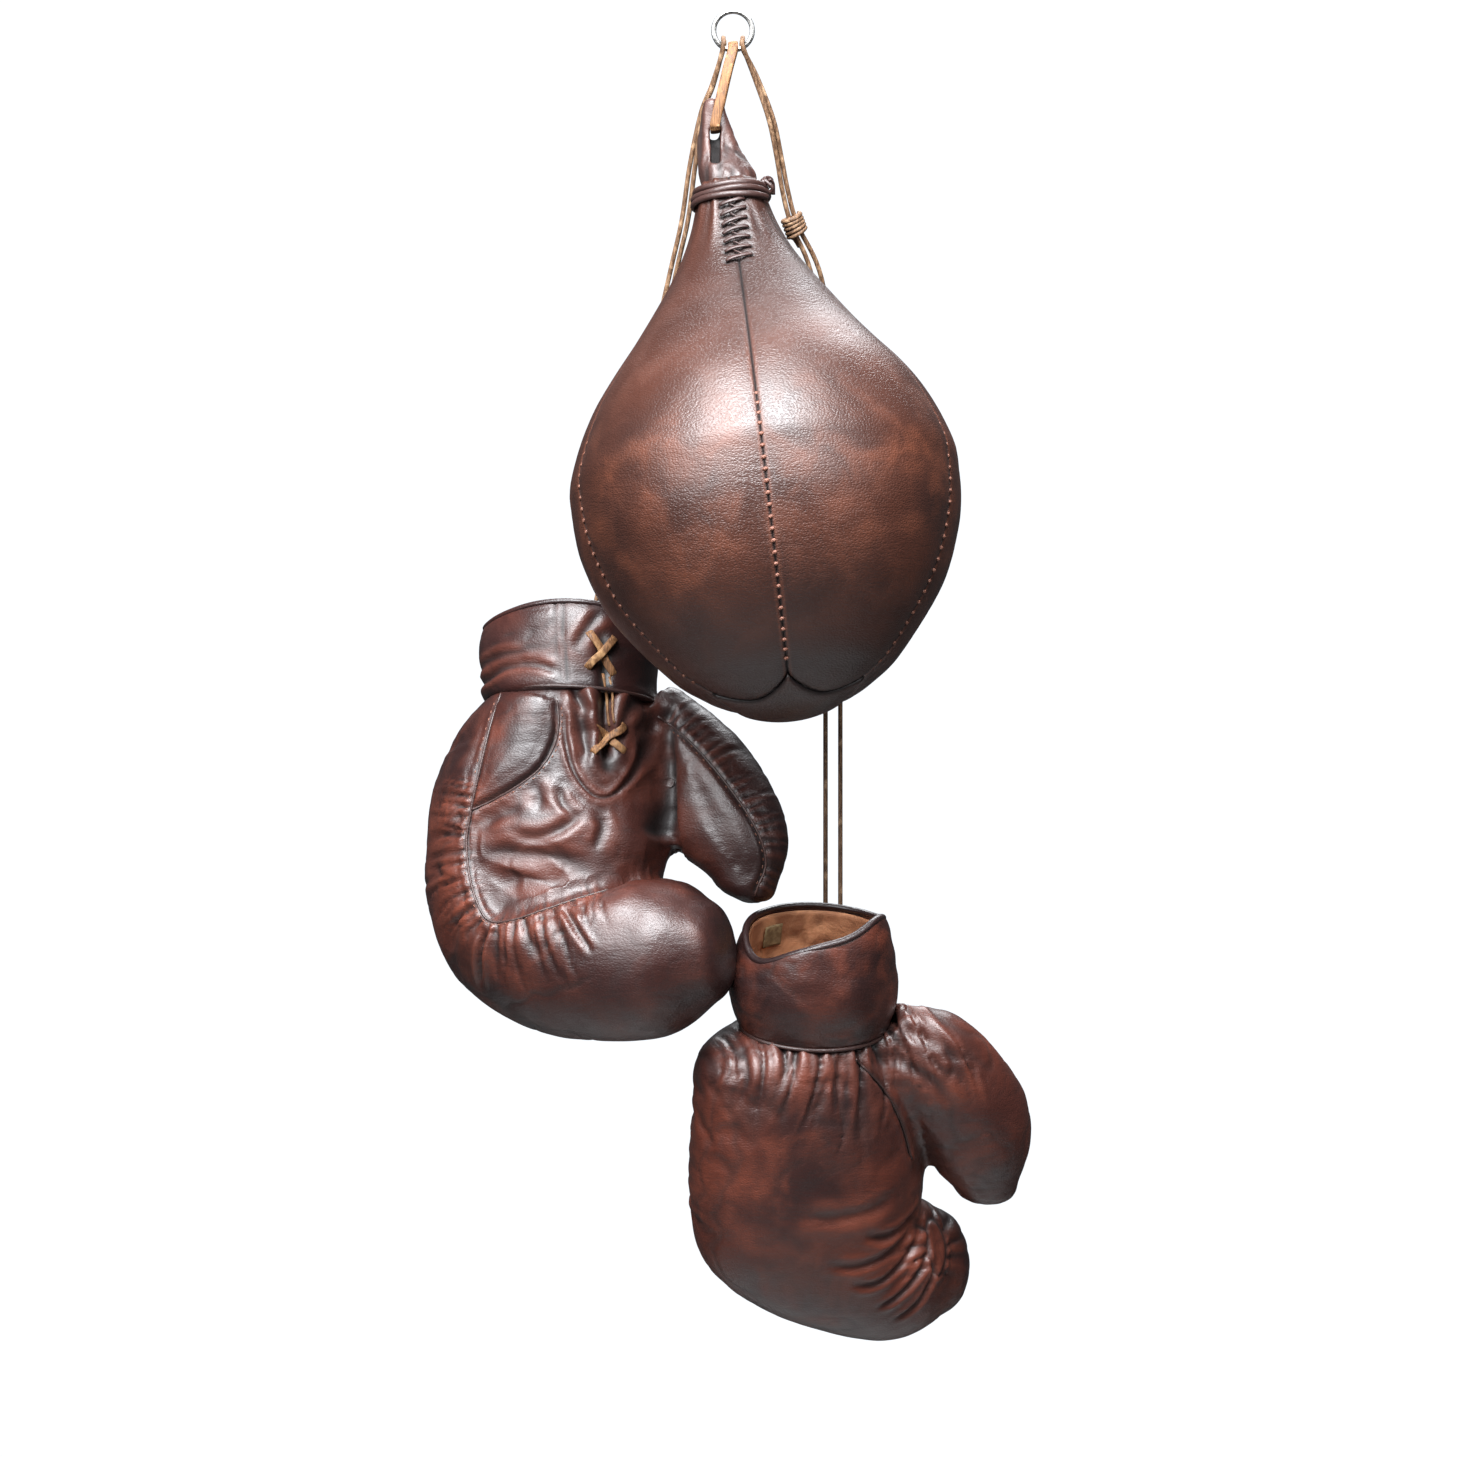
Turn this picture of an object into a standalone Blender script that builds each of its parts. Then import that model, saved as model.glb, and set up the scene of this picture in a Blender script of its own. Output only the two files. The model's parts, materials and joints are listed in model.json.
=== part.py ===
"""A pear-shaped leather speed bag and a pair of lace-up boxing gloves, hung from one steel ring.

Metres, +Z up, the front faces -Y. The origin is the top inside of the ring, where a hook would hold it.
The gloves hang on their own laces behind the bag, so the bag leans forward against them.
"""

import math

import bmesh
import bpy
from mathutils import Matrix, Vector

MM = 0.001
GAP = 0.3 * MM

# Steel ring, upright and facing the front. Everything hangs from the bottom of its wire.
RING_RADIUS = 12 * MM
RING_WIRE = 1.6 * MM
RING_INNER = RING_RADIUS - RING_WIRE
RING_CENTRE = Vector((0, 0, -RING_INNER))

# Bag. Its axis starts at the neck and leans forward and to the right going down.
BAG_NECK = Vector((4 * MM, -17 * MM, -162 * MM))
BAG_SIDE_LEAN = 0.115
BAG_FRONT_LEAN = 0.185
# Distance along the axis below the neck, and the radius there.
BAG_OUTLINE = (
    (-57, 19.5), (-28, 28), (0, 42), (38, 68), (80, 100), (118, 117),
    (140, 119.5), (171, 116), (209, 101), (247, 72), (262, 54), (270, 41),
)
BAG_BOTTOM = 282
PANELS = 5
PANEL_COLUMNS = 5
PANEL_ROWS = 13
CAP_RINGS = 3
LEATHER = 2.4 * MM
LINING = 1.2 * MM
BLADDER_INSET = 4.5 * MM
BLADDER_WALL = 1 * MM
BLADDER_TOP = -20
CAP_TOP_GAP = 0.6
CAP_FIRST_LIFT = math.radians(25)
CAP_LIFT_SPAN = math.radians(65)
VALVE_RADIUS = 4 * MM

# Hood above the neck, with the slot that the thong passes through. Rings: x, y, z, half width, half depth.
HOOD_RINGS = (
    (-1.4, -8.2, -113, 15.5, 15.5), (-3.4, -6, -101, 16.5, 15.5), (-7, -3, -90, 14.5, 10), (-10, 0, -80, 12, 7),
    (-11.5, 0, -66, 9, 5), (-12.5, 0, -56, 6.5, 4), (-12.8, 0, -53, 3.5, 2.5),
)
HOOD_PIVOT = Vector((-11 * MM, 0, -72 * MM))
SLOT_WIDTH = 7.5 * MM
SLOT_HEIGHT = 25 * MM
SLOT_CUT_DEPTH = 60 * MM
THONG_RADIUS = 2.2 * MM
THONG_BEND = 3 * MM
THONG_SPREAD = 9.5 * MM
THONG_BELOW_RING = 12 * MM
THONG_ABOVE_SLOT = 16 * MM

# Dark thong round the neck and across the throat. Depths are along the bag's axis, in millimetres.
BINDING_TURNS = 3
BINDING_STEPS = 16
BINDING_WIRE = 1.6 * MM
BINDING_FIRST_DEPTH = -52
BINDING_PITCH = 3.9
LACING_STITCHES = 7
LACING_DEPTHS = (-36, 2)
LACING_HALF_WIDTH = 12 * MM
LACING_SLANT = 1.4
LACING_LIFT = 2.3 * MM
LACING_RADIUS = 1.1 * MM

# Laces that the gloves hang on.
CORD_RADIUS = 1.5 * MM
CORD_OFFSET = 6 * MM

# Small leather parts on the gloves.
WELT_RADIUS = 1.1 * MM
WELT_WIDTH = 1.5
BINDING_RADIUS = 1.8 * MM
PATCH_THICKNESS = 1.5 * MM
STRAP_WIDTH = 4 * MM
STRAP_REACH = Vector((11, 17)) * MM
LABEL_SIDE = 16 * MM
LABEL_ROWS = (0.45, 0.9)
LABEL_THICKNESS = 0.8 * MM
# How far the hand's space is drawn in from the mitt's ribs, from the wrist on, and how far its nose reaches.
HAND_INSETS = (14, 20, 26, 29, 31)
HAND_SPACE_NOSE = 16 * MM
KNOT_HEIGHT = 15 * MM

SEGMENTS = 20


def clear_scene():
    for obj in list(bpy.data.objects):
        bpy.data.objects.remove(obj)


def material(name, colour, roughness, metallic=0.0):
    """The named Principled material, made on first use."""
    made = bpy.data.materials.get(name)
    if made is None:
        made = bpy.data.materials.new(name)
        made.use_nodes = True
        shader = made.node_tree.nodes["Principled BSDF"]
        shader.inputs["Base Color"].default_value = (*colour, 1)
        shader.inputs["Roughness"].default_value = roughness
        shader.inputs["Metallic"].default_value = metallic
    return made


def oxblood_leather():
    return material("oxblood_leather", (0.12, 0.035, 0.02), 0.35)


def tan_leather():
    return material("tan_leather", (0.42, 0.2, 0.09), 0.6)


def lining_cloth():
    return material("lining_cloth", (0.4, 0.2, 0.1), 0.85)


def horsehair():
    return material("horsehair", (0.16, 0.11, 0.07), 0.95)


def black_rubber():
    return material("black_rubber", (0.03, 0.03, 0.03), 0.6)


def steel():
    return material("steel", (0.55, 0.55, 0.57), 0.35, 1.0)


def add_object(name, data, finish, parent=None, smooth=True):
    obj = bpy.data.objects.new(name, data)
    bpy.context.scene.collection.objects.link(obj)
    data.materials.append(finish)
    obj.parent = parent
    if smooth and isinstance(data, bpy.types.Mesh):
        data.shade_smooth()
        data.set_sharp_from_angle(angle=math.radians(50))
    return obj


def add_empty(name, matrix):
    """A frame for the pieces that move or are posed together."""
    empty = bpy.data.objects.new(name, None)
    bpy.context.scene.collection.objects.link(empty)
    empty.matrix_world = matrix
    return empty


def mesh_from(bm, name):
    """The mesh of a closed bmesh, facing out."""
    bmesh.ops.recalc_face_normals(bm, faces=bm.faces)
    mesh = bpy.data.meshes.new(name)
    bm.to_mesh(mesh)
    bm.free()
    return mesh


def bridge(bm, first, second):
    """Quads between two rings of vertices."""
    count = len(first)
    for i in range(count):
        j = (i + 1) % count
        bm.faces.new((first[i], first[j], second[j], second[i]))


def fill_grid(bm, rows):
    """Quads over a grid of vertices."""
    for upper, lower in zip(rows, rows[1:]):
        for c in range(len(upper) - 1):
            bm.faces.new((upper[c], upper[c + 1], lower[c + 1], lower[c]))


def border(rows):
    """The vertices round the edge of a grid, in order."""
    return rows[0] + [row[-1] for row in rows[1:-1]] + rows[-1][::-1] + [row[0] for row in rows[-2:0:-1]]


def close_end(bm, ring, apex=None):
    """A fan from the ring to its tip, or to its own middle."""
    tip = apex or sum((v.co for v in ring), Vector()) / len(ring)
    top = bm.verts.new(tip)
    count = len(ring)
    for i in range(count):
        bm.faces.new((ring[i], ring[(i + 1) % count], top))


def solid_mesh(name, rings, tip=None):
    """A closed body through the rings, with flat ends or a tip at the last one."""
    bm = bmesh.new()
    rows = [[bm.verts.new(p) for p in ring] for ring in rings]
    for first, second in zip(rows, rows[1:]):
        bridge(bm, first, second)
    close_end(bm, rows[0])
    close_end(bm, rows[-1], tip)
    return mesh_from(bm, name)


def pouch_mesh(name, outer, inner, outer_tip, inner_tip):
    """A closed-ended hollow body: two skins joined round the mouth, each with its own tip."""
    bm = bmesh.new()
    skins = [[[bm.verts.new(p) for p in ring] for ring in rings] for rings in (outer, inner)]
    for rows, tip in zip(skins, (outer_tip, inner_tip)):
        for first, second in zip(rows, rows[1:]):
            bridge(bm, first, second)
        close_end(bm, rows[-1], tip)
    bridge(bm, skins[0][0], skins[1][0])
    return mesh_from(bm, name)


def sleeve_mesh(name, outer, inner):
    """A tube with a wall: two skins joined round both ends."""
    bm = bmesh.new()
    skins = [[[bm.verts.new(p) for p in ring] for ring in rings] for rings in (outer, inner)]
    for rows in skins:
        for first, second in zip(rows, rows[1:]):
            bridge(bm, first, second)
    for end in (0, -1):
        bridge(bm, skins[0][end], skins[1][end])
    return mesh_from(bm, name)


def smooth_through(points, steps):
    """Points on a smooth curve through the given ones, with so many steps between neighbours."""
    ends = [2 * points[0] - points[1], *points, 2 * points[-1] - points[-2]]
    found = []
    for a, b, c, d in zip(ends, ends[1:], ends[2:], ends[3:]):
        for i in range(steps):
            t = i / steps
            found.append(
                0.5 * (2 * b + (c - a) * t + (2 * a - 5 * b + 4 * c - d) * t**2 + (3 * b - a - 3 * c + d) * t**3)
            )
    found.append(points[-1])
    return found


def tube_object(name, points, radius, finish, parent=None, closed=False, resolution=2):
    """A round cord along the points."""
    curve = bpy.data.curves.new(name, "CURVE")
    curve.dimensions = "3D"
    curve.bevel_depth = radius
    curve.bevel_resolution = resolution
    curve.use_fill_caps = not closed
    spline = curve.splines.new("POLY")
    spline.points.add(len(points) - 1)
    for slot, point in zip(spline.points, points):
        slot.co = (*point, 1)
    spline.use_cyclic_u = closed
    return add_object(name, curve, finish, parent, smooth=False)


def cut(obj, cutter):
    """Takes the cutter's shape out of the object."""
    cutter.hide_render = True
    cutter.display_type = "WIRE"
    modifier = obj.modifiers.new("cut", "BOOLEAN")
    modifier.operation = "DIFFERENCE"
    modifier.object = cutter


def build_ring():
    points = [
        RING_CENTRE + RING_RADIUS * Vector((math.cos(a), 0, math.sin(a)))
        for a in (2 * math.pi * i / 32 for i in range(32))
    ]
    tube_object("hanging_ring", points, RING_WIRE, steel(), closed=True)


# Bag


def bag_frame():
    """A frame at the neck whose Z runs up the bag's axis and whose -Y faces the front seam."""
    up = Vector((-BAG_SIDE_LEAN, BAG_FRONT_LEAN, 1)).normalized()
    right = Vector((0, 1, 0)).cross(up).normalized()
    back = up.cross(right)
    turn = Matrix((right, back, up)).transposed().to_4x4()
    return Matrix.Translation(BAG_NECK) @ turn


def outline_radius(depth):
    """Bag radius at a depth below the neck, in metres, smooth through the outline's points."""
    count = len(BAG_OUTLINE)
    last = next((i for i in range(1, count) if BAG_OUTLINE[i][0] >= depth), count - 1)
    picked = [BAG_OUTLINE[min(max(i, 0), count - 1)] for i in range(last - 2, last + 2)]
    (s0, r0), (s1, r1), (s2, r2), (s3, r3) = picked
    t = (depth - s1) / (s2 - s1)
    first = (r2 - r0) / max(s2 - s0, 1) * (s2 - s1)
    second = (r3 - r1) / max(s3 - s1, 1) * (s2 - s1)
    value = (
        (2 * t**3 - 3 * t**2 + 1) * r1
        + (t**3 - 2 * t**2 + t) * first
        + (3 * t**2 - 2 * t**3) * r2
        + (t**3 - t**2) * second
    )
    return value * MM


def bag_point(depth, angle, inset=0.0):
    """A point on the bag in its own frame. Angle 0 is the front seam."""
    radius = outline_radius(depth) - inset
    return Vector((radius * math.sin(angle), -radius * math.cos(angle), -depth * MM))


def build_panel(index, frame):
    """One curved leather panel, from the neck to the bottom cap."""
    span = 2 * math.pi / PANELS
    start = index * span
    top, bottom = BAG_OUTLINE[0][0], BAG_OUTLINE[-1][0]
    bm = bmesh.new()
    skins = []
    for inset in (0.0, LEATHER):
        rows = []
        for row in range(PANEL_ROWS + 1):
            depth = top + (bottom - top) * row / PANEL_ROWS
            edge = GAP / outline_radius(depth)
            columns = range(PANEL_COLUMNS + 1)
            angles = [start + edge + (span - 2 * edge) * c / PANEL_COLUMNS for c in columns]
            rows.append([bm.verts.new(bag_point(depth, a, inset)) for a in angles])
        skins.append(rows)
    for rows in skins:
        fill_grid(bm, rows)
    bridge(bm, *(border(rows) for rows in skins))
    mesh = mesh_from(bm, f"bag_panel_{index + 1}")
    add_object(mesh.name, mesh, oxblood_leather(), frame)


def cap_rings(inset, steps):
    """Rings of the domed bottom, as a quarter of an ellipse below the panels."""
    top = BAG_OUTLINE[-1][0] + CAP_TOP_GAP
    edge = outline_radius(BAG_OUTLINE[-1][0])
    deep = (BAG_BOTTOM - top) * MM
    rings = []
    for step in range(steps):
        lift = CAP_FIRST_LIFT + CAP_LIFT_SPAN * step / steps
        radius = (edge - inset) * math.cos(lift) / math.cos(CAP_FIRST_LIFT)
        drop = (deep - inset) * (math.sin(lift) - math.sin(CAP_FIRST_LIFT)) / (1 - math.sin(CAP_FIRST_LIFT))
        rings.append(circle(radius, -top * MM - drop))
    return rings, Vector((0, 0, -top * MM - deep + inset))


def circle(radius, height, count=SEGMENTS):
    angles = (2 * math.pi * i / count for i in range(count))
    return [Vector((radius * math.cos(a), radius * math.sin(a), height)) for a in angles]


def build_bottom_cap(frame):
    outer, outer_tip = cap_rings(0.0, CAP_RINGS)
    inner, inner_tip = cap_rings(LEATHER, CAP_RINGS)
    mesh = pouch_mesh("bag_bottom_cap", outer, inner, outer_tip, inner_tip)
    add_object(mesh.name, mesh, oxblood_leather(), frame)


def build_bladder(frame):
    """The rubber bladder inside the panels, open at the top where its valve stem fits."""
    bottom = BAG_OUTLINE[-1][0]
    depths = [BLADDER_TOP + (bottom - BLADDER_TOP) * i / 10 for i in range(11)]
    skins = [
        [circle(outline_radius(d) - BLADDER_INSET - wall, -d * MM) for d in depths]
        for wall in (0.0, BLADDER_WALL)
    ]
    tips = [Vector((0, 0, wall - (BAG_BOTTOM - 5) * MM)) for wall in (0.0, BLADDER_WALL)]
    mesh = pouch_mesh("bag_bladder", *skins, *tips)
    add_object(mesh.name, mesh, black_rubber(), frame)


def build_valve(frame):
    """The bladder's filler stem, which stands up inside the laced throat."""
    heights = (-(BLADDER_TOP - 0.4) * MM, 44 * MM)
    mesh = solid_mesh("bag_valve_stem", [circle(VALVE_RADIUS, h, 12) for h in heights])
    add_object(mesh.name, mesh, black_rubber(), frame)


def hood_ring(x, y, z, half_width, half_depth):
    angles = (2 * math.pi * i / SEGMENTS for i in range(SEGMENTS))
    return [
        Vector((x + half_width * math.cos(a), y + half_depth * math.sin(a), z)) * MM for a in angles
    ]


def build_hood():
    """The leather hood that plugs the neck and narrows to the slot for the thong."""
    rings = [hood_ring(*row) for row in HOOD_RINGS]
    mesh = solid_mesh("bag_hood", rings)
    hood = add_object(mesh.name, mesh, oxblood_leather())
    bm = bmesh.new()
    bmesh.ops.create_cube(bm, size=1)
    slot = bpy.data.objects.new("slot_cutter", mesh_from(bm, "slot_cutter"))
    bpy.context.scene.collection.objects.link(slot)
    slot.scale = (SLOT_WIDTH, SLOT_CUT_DEPTH, SLOT_HEIGHT)
    slot.location = HOOD_PIVOT + Vector((0, 0, THONG_RADIUS + GAP - SLOT_HEIGHT / 2))
    cut(hood, slot)


def build_neck_binding(frame):
    """Three turns of dark thong round the neck."""
    points = []
    for i in range(BINDING_TURNS * BINDING_STEPS + 1):
        angle = 2 * math.pi * i / BINDING_STEPS
        depth = BINDING_FIRST_DEPTH + BINDING_PITCH * i / BINDING_STEPS
        radius = outline_radius(depth) + BINDING_WIRE + 3 * GAP
        points.append(Vector((radius * math.sin(angle), -radius * math.cos(angle), -depth * MM)))
    tube_object("bag_neck_binding", points, BINDING_WIRE, oxblood_leather(), frame, resolution=1)


def build_throat_lacing(frame):
    """The zigzag of dark thong that closes the front seam below the neck."""
    first, last = LACING_DEPTHS
    points = []
    for i in range(2 * LACING_STITCHES):
        depth = first + (last - first) * i / (2 * LACING_STITCHES - 1)
        side = 1 if i % 2 else -1
        for share in (-1, -0.4, 0.4):
            turn = side * share * LACING_HALF_WIDTH / outline_radius(depth)
            step = (share + 1) * LACING_SLANT
            points.append(bag_point(depth + step, turn, -LACING_LIFT))
    tube_object("bag_throat_lacing", points, LACING_RADIUS, oxblood_leather(), frame, resolution=1)


def build_bag():
    frame = add_empty("bag_frame", bag_frame())
    for index in range(PANELS):
        build_panel(index, frame)
    build_bottom_cap(frame)
    build_bladder(frame)
    build_valve(frame)
    build_hood()
    build_neck_binding(frame)
    build_throat_lacing(frame)
    build_thong()


def build_thong():
    """The tan loop from the ring to the hood's slot."""
    ring_bottom = RING_CENTRE.z - RING_RADIUS
    reach = RING_WIRE + THONG_RADIUS + GAP
    spread = THONG_SPREAD
    points = []
    for i in range(9):
        angle = math.pi * i / 8
        points.append(Vector((0, -reach * math.cos(angle), ring_bottom + reach * math.sin(angle))))
    slot = HOOD_PIVOT
    points.append(Vector((slot.x * 0.3, spread * 0.75, ring_bottom - THONG_BELOW_RING)))
    points.append(Vector((slot.x * 0.75, spread, slot.z + THONG_ABOVE_SLOT)))
    for side in (1, -1):
        corner = Vector((slot.x, side * (spread - THONG_BEND), slot.z + THONG_BEND))
        turns = (0, 30, 60, 90) if side > 0 else (90, 60, 30, 0)
        for turn in (math.radians(t) for t in turns):
            points.append(corner + THONG_BEND * Vector((0, side * math.cos(turn), -math.sin(turn))))
    points.append(Vector((slot.x * 0.75, -spread, slot.z + THONG_ABOVE_SLOT)))
    points.append(Vector((slot.x * 0.3, -spread * 0.75, ring_bottom - THONG_BELOW_RING)))
    tube_object("bag_thong", points, THONG_RADIUS, tan_leather(), closed=True)


# Gloves. A rib joins the back of the hand to the palm side; u runs across, w up, and v to the rear.

LEFT_MITT = (
    # back u, w; palm u, w; v; half depth
    (-53, -60, 58, -68, 0, 47),
    (-73, -77, 62, -89, 0, 52),
    (-89, -109, 65, -121, 0, 56),
    (-94, -151, 68, -160, 0, 57),
    (-92, -195, 65, -178, 0, 57),
    (-73, -237, 60, -187, 0, 56),
    (-29, -269, 66, -185, -2, 55),
    (24, -283, 76, -184, -4, 53),
    (70, -282, 88, -188, -6, 48),
    (101, -265, 102, -200, -8, 34),
)
LEFT_MITT_TIP = (115, -8, -233)
LEFT_THUMB = (
    (66, -52, 40, -80, 18, 14),
    (110, -90, 50, -103, 26, 25),
    (135, -132, 55, -131, 26, 27),
    (142, -164, 63, -158, 26, 25),
    (135, -189, 84, -181, 26, 18),
)
LEFT_THUMB_TIP = (110, 26, -199)
LEFT_CUFF = ((-55, -5, 58, -14, 0, 46), (-56, -29, 58, -38, 0, 47), (-52, -57, 57, -65, 0, 45))

RIGHT_MITT = (
    (-51, -71, 44, -78, 0, 43),
    (-76, -81, 55, -96, 0, 49),
    (-83, -102, 66, -122, 0, 53),
    (-85, -146, 71, -161, 0, 56),
    (-84, -181, 71, -182, 0, 56),
    (-77, -216, 69, -193, 1, 55),
    (-46, -250, 70, -198, 3, 53),
    (4, -279, 75, -201, 5, 50),
    (51, -292, 82, -203, 7, 44),
    (87, -282, 89, -210, 8, 30),
)
RIGHT_MITT_TIP = (107, 8, -248)
RIGHT_THUMB = (
    (46, -62, 20, -92, -18, 14),
    (83, -70, 41, -111, -24, 26),
    (112, -94, 57, -129, -24, 29),
    (131, -124, 68, -147, -24, 29),
    (135, -154, 77, -163, -24, 26),
    (129, -182, 88, -178, -24, 17),
)
RIGHT_THUMB_TIP = (110, -24, -196)
RIGHT_CUFF = ((-48, 3, 46, -3, 0, 42), (-53, -32, 52, -41, 0, 47), (-49, -68, 45, -75, 0, 42))

LEFT_SHAPES = {
    "cuff": LEFT_CUFF,
    "mitt": LEFT_MITT,
    "mitt_tip": LEFT_MITT_TIP,
    "thumb": LEFT_THUMB,
    "thumb_tip": LEFT_THUMB_TIP,
    "lace_angle": 66,
}
RIGHT_SHAPES = {
    "cuff": RIGHT_CUFF,
    "mitt": RIGHT_MITT,
    "mitt_tip": RIGHT_MITT_TIP,
    "thumb": RIGHT_THUMB,
    "thumb_tip": RIGHT_THUMB_TIP,
    "lace_angle": 104,
}
CUFF_LACE_LIFT = 3.2 * MM
MITT_LACE_LIFT = 5.5 * MM
LABEL_ANGLE = 110
LABEL_BOW = 1.5 * MM

# Mouth centre, and how each glove leans and turns as it hangs.
LEFT_MOUTH = Vector((-106, 107, -366)) * MM
LEFT_LEAN = math.radians(-13)
LEFT_TURN = math.radians(-22)
RIGHT_MOUTH = Vector((53, 28, -567)) * MM
RIGHT_LEAN = math.radians(18.6)
RIGHT_TURN = math.radians(20)


def rib_point(rib, angle, inset=0.0):
    """A point of a rib's oval, shrunk all round by the inset. Angle 0 is at its palm end."""
    back_u, back_w, palm_u, palm_w, v, half_depth = (value * MM for value in rib)
    middle = Vector((back_u + palm_u, 2 * v, back_w + palm_w)) / 2
    across = Vector((palm_u - back_u, 0, palm_w - back_w))
    half = across.length / 2 - inset
    point = middle + across.normalized() * half * math.cos(angle)
    point.y += (half_depth - inset) * math.sin(angle)
    return point


def rib_ring(rib, inset=0.0):
    """The oval of one rib, shrunk all round by the inset."""
    return [rib_point(rib, 2 * math.pi * i / SEGMENTS, inset) for i in range(SEGMENTS)]


def tip_point(tip, ribs, inset=0.0):
    """The far end of a row of ribs, pulled in by the inset."""
    end = Vector(tip) * MM
    last = rib_ring(ribs[-1])
    middle = sum(last, Vector()) / len(last)
    return end + (middle - end).normalized() * inset


def glove_pouch(name, ribs, tip, outside, wall, finish, parent):
    outer = [rib_ring(rib, outside) for rib in ribs]
    inner = [rib_ring(rib, outside + wall) for rib in ribs]
    tips = (tip_point(tip, ribs, outside), tip_point(tip, ribs, outside + wall))
    mesh = pouch_mesh(name, outer, inner, *tips)
    return add_object(name, mesh, finish, parent)


def hand_cavity(ribs):
    """The space for the hand: the first ribs, narrowed, and the tip it ends in."""
    rings = [rib_ring(rib, inset * MM) for rib, inset in zip(ribs, HAND_INSETS)]
    middle = sum(rings[-1], Vector()) / len(rings[-1])
    return rings, middle + Vector((0, 0, -HAND_SPACE_NOSE))


def build_mitt(side, ribs, tip, parent):
    """Leather shell, horsehair padding and lining, one inside the other and open at the wrist."""
    glove_pouch(f"{side}_mitt_shell", ribs, tip, 0.0, LEATHER, oxblood_leather(), parent)
    inset = LEATHER + GAP
    outer = [rib_ring(rib, inset) for rib in ribs]
    cavity, cavity_tip = hand_cavity(ribs)
    name = f"{side}_mitt_padding"
    mesh = pouch_mesh(name, outer, cavity, tip_point(tip, ribs, inset), cavity_tip)
    add_object(name, mesh, horsehair(), parent)
    name = f"{side}_mitt_lining"
    outer = [shrunk(ring, GAP) for ring in cavity]
    inner = [shrunk(ring, GAP + LINING) for ring in cavity]
    tips = (cavity_tip + Vector((0, 0, 2 * GAP)), cavity_tip + Vector((0, 0, 2 * GAP + 1.5 * LINING)))
    mesh = pouch_mesh(name, outer, inner, *tips)
    add_object(name, mesh, lining_cloth(), parent)


def shrunk(ring, inset):
    """The ring moved in towards its middle."""
    middle = sum(ring, Vector()) / len(ring)
    return [p + (middle - p).normalized() * inset for p in ring]


def keep_out(name, ribs, parent, tip=None):
    """A cutter that fills the ribs' outline and the gap round it."""
    rings = [rib_ring(rib, -2 * GAP) for rib in ribs]
    mesh = solid_mesh(name, rings, tip_point(tip, ribs, -2 * GAP) if tip else None)
    return add_object(name, mesh, oxblood_leather(), parent)


def build_thumb(side, shapes, parent):
    """The padded thumb: a shell open where it meets the mitt, and its stuffing."""
    ribs, tip = shapes["thumb"], shapes["thumb_tip"]
    cutters = (
        keep_out(f"{side}_mitt_space", shapes["mitt"], parent, shapes["mitt_tip"]),
        keep_out(f"{side}_cuff_space", wrist_space(shapes), parent),
    )
    shell = glove_pouch(f"{side}_thumb_shell", ribs, tip, 0.0, LEATHER, oxblood_leather(), parent)
    inset = LEATHER + 2 * GAP
    rings = [rib_ring(rib, inset) for rib in ribs]
    mesh = solid_mesh(f"{side}_thumb_stuffing", rings, tip_point(tip, ribs, inset))
    stuffing = add_object(mesh.name, mesh, horsehair(), parent)
    for piece in (shell, stuffing):
        for cutter in cutters:
            cut(piece, cutter)


def wrist_space(shapes):
    """The cuff's ribs, widened by the welt and run on into the mitt."""
    fattened = [
        (a - WELT_WIDTH, b, c + WELT_WIDTH, d, v, deep + WELT_WIDTH)
        for a, b, c, d, v, deep in (*shapes["cuff"], shapes["mitt"][0])
    ]
    return fattened


def build_cuff(side, ribs, parent):
    """The wrist cuff and the tan facing inside it, both open at each end."""
    outer = [rib_ring(rib) for rib in ribs]
    inner = [rib_ring(rib, LEATHER) for rib in ribs]
    mesh = sleeve_mesh(f"{side}_cuff", outer, inner)
    add_object(mesh.name, mesh, oxblood_leather(), parent)
    inset = LEATHER + GAP
    outer = [rib_ring(rib, inset) for rib in ribs]
    inner = [rib_ring(rib, inset + LINING) for rib in ribs]
    mesh = sleeve_mesh(f"{side}_cuff_lining", outer, inner)
    add_object(mesh.name, mesh, tan_leather(), parent)


def surface_point(ribs, row, angle, lift):
    """A point above the skin of a row of ribs. Row counts ribs and may fall between two."""
    first = min(int(row), len(ribs) - 2)
    ends = [rib_point(rib, angle, -lift) for rib in ribs[first : first + 2]]
    return ends[0].lerp(ends[1], row - first)


def build_patch(name, ribs, rows, columns, finish, parent):
    """A leather panel laid on the skin, between two rows and two columns of its ribs' points."""
    stops = [rows[0], *range(math.floor(rows[0]) + 1, math.ceil(rows[1])), rows[1]]
    low, high = sorted(columns)
    bm = bmesh.new()
    skins = []
    for lift in (2 * GAP + PATCH_THICKNESS, 2 * GAP):
        turns = [2 * math.pi * c / SEGMENTS for c in range(low, high + 1)]
        skins.append([[bm.verts.new(surface_point(ribs, row, turn, lift)) for turn in turns] for row in stops])
    for skin in skins:
        fill_grid(bm, skin)
    bridge(bm, *(border(skin) for skin in skins))
    return add_object(name, mesh_from(bm, name), finish, parent)


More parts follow.
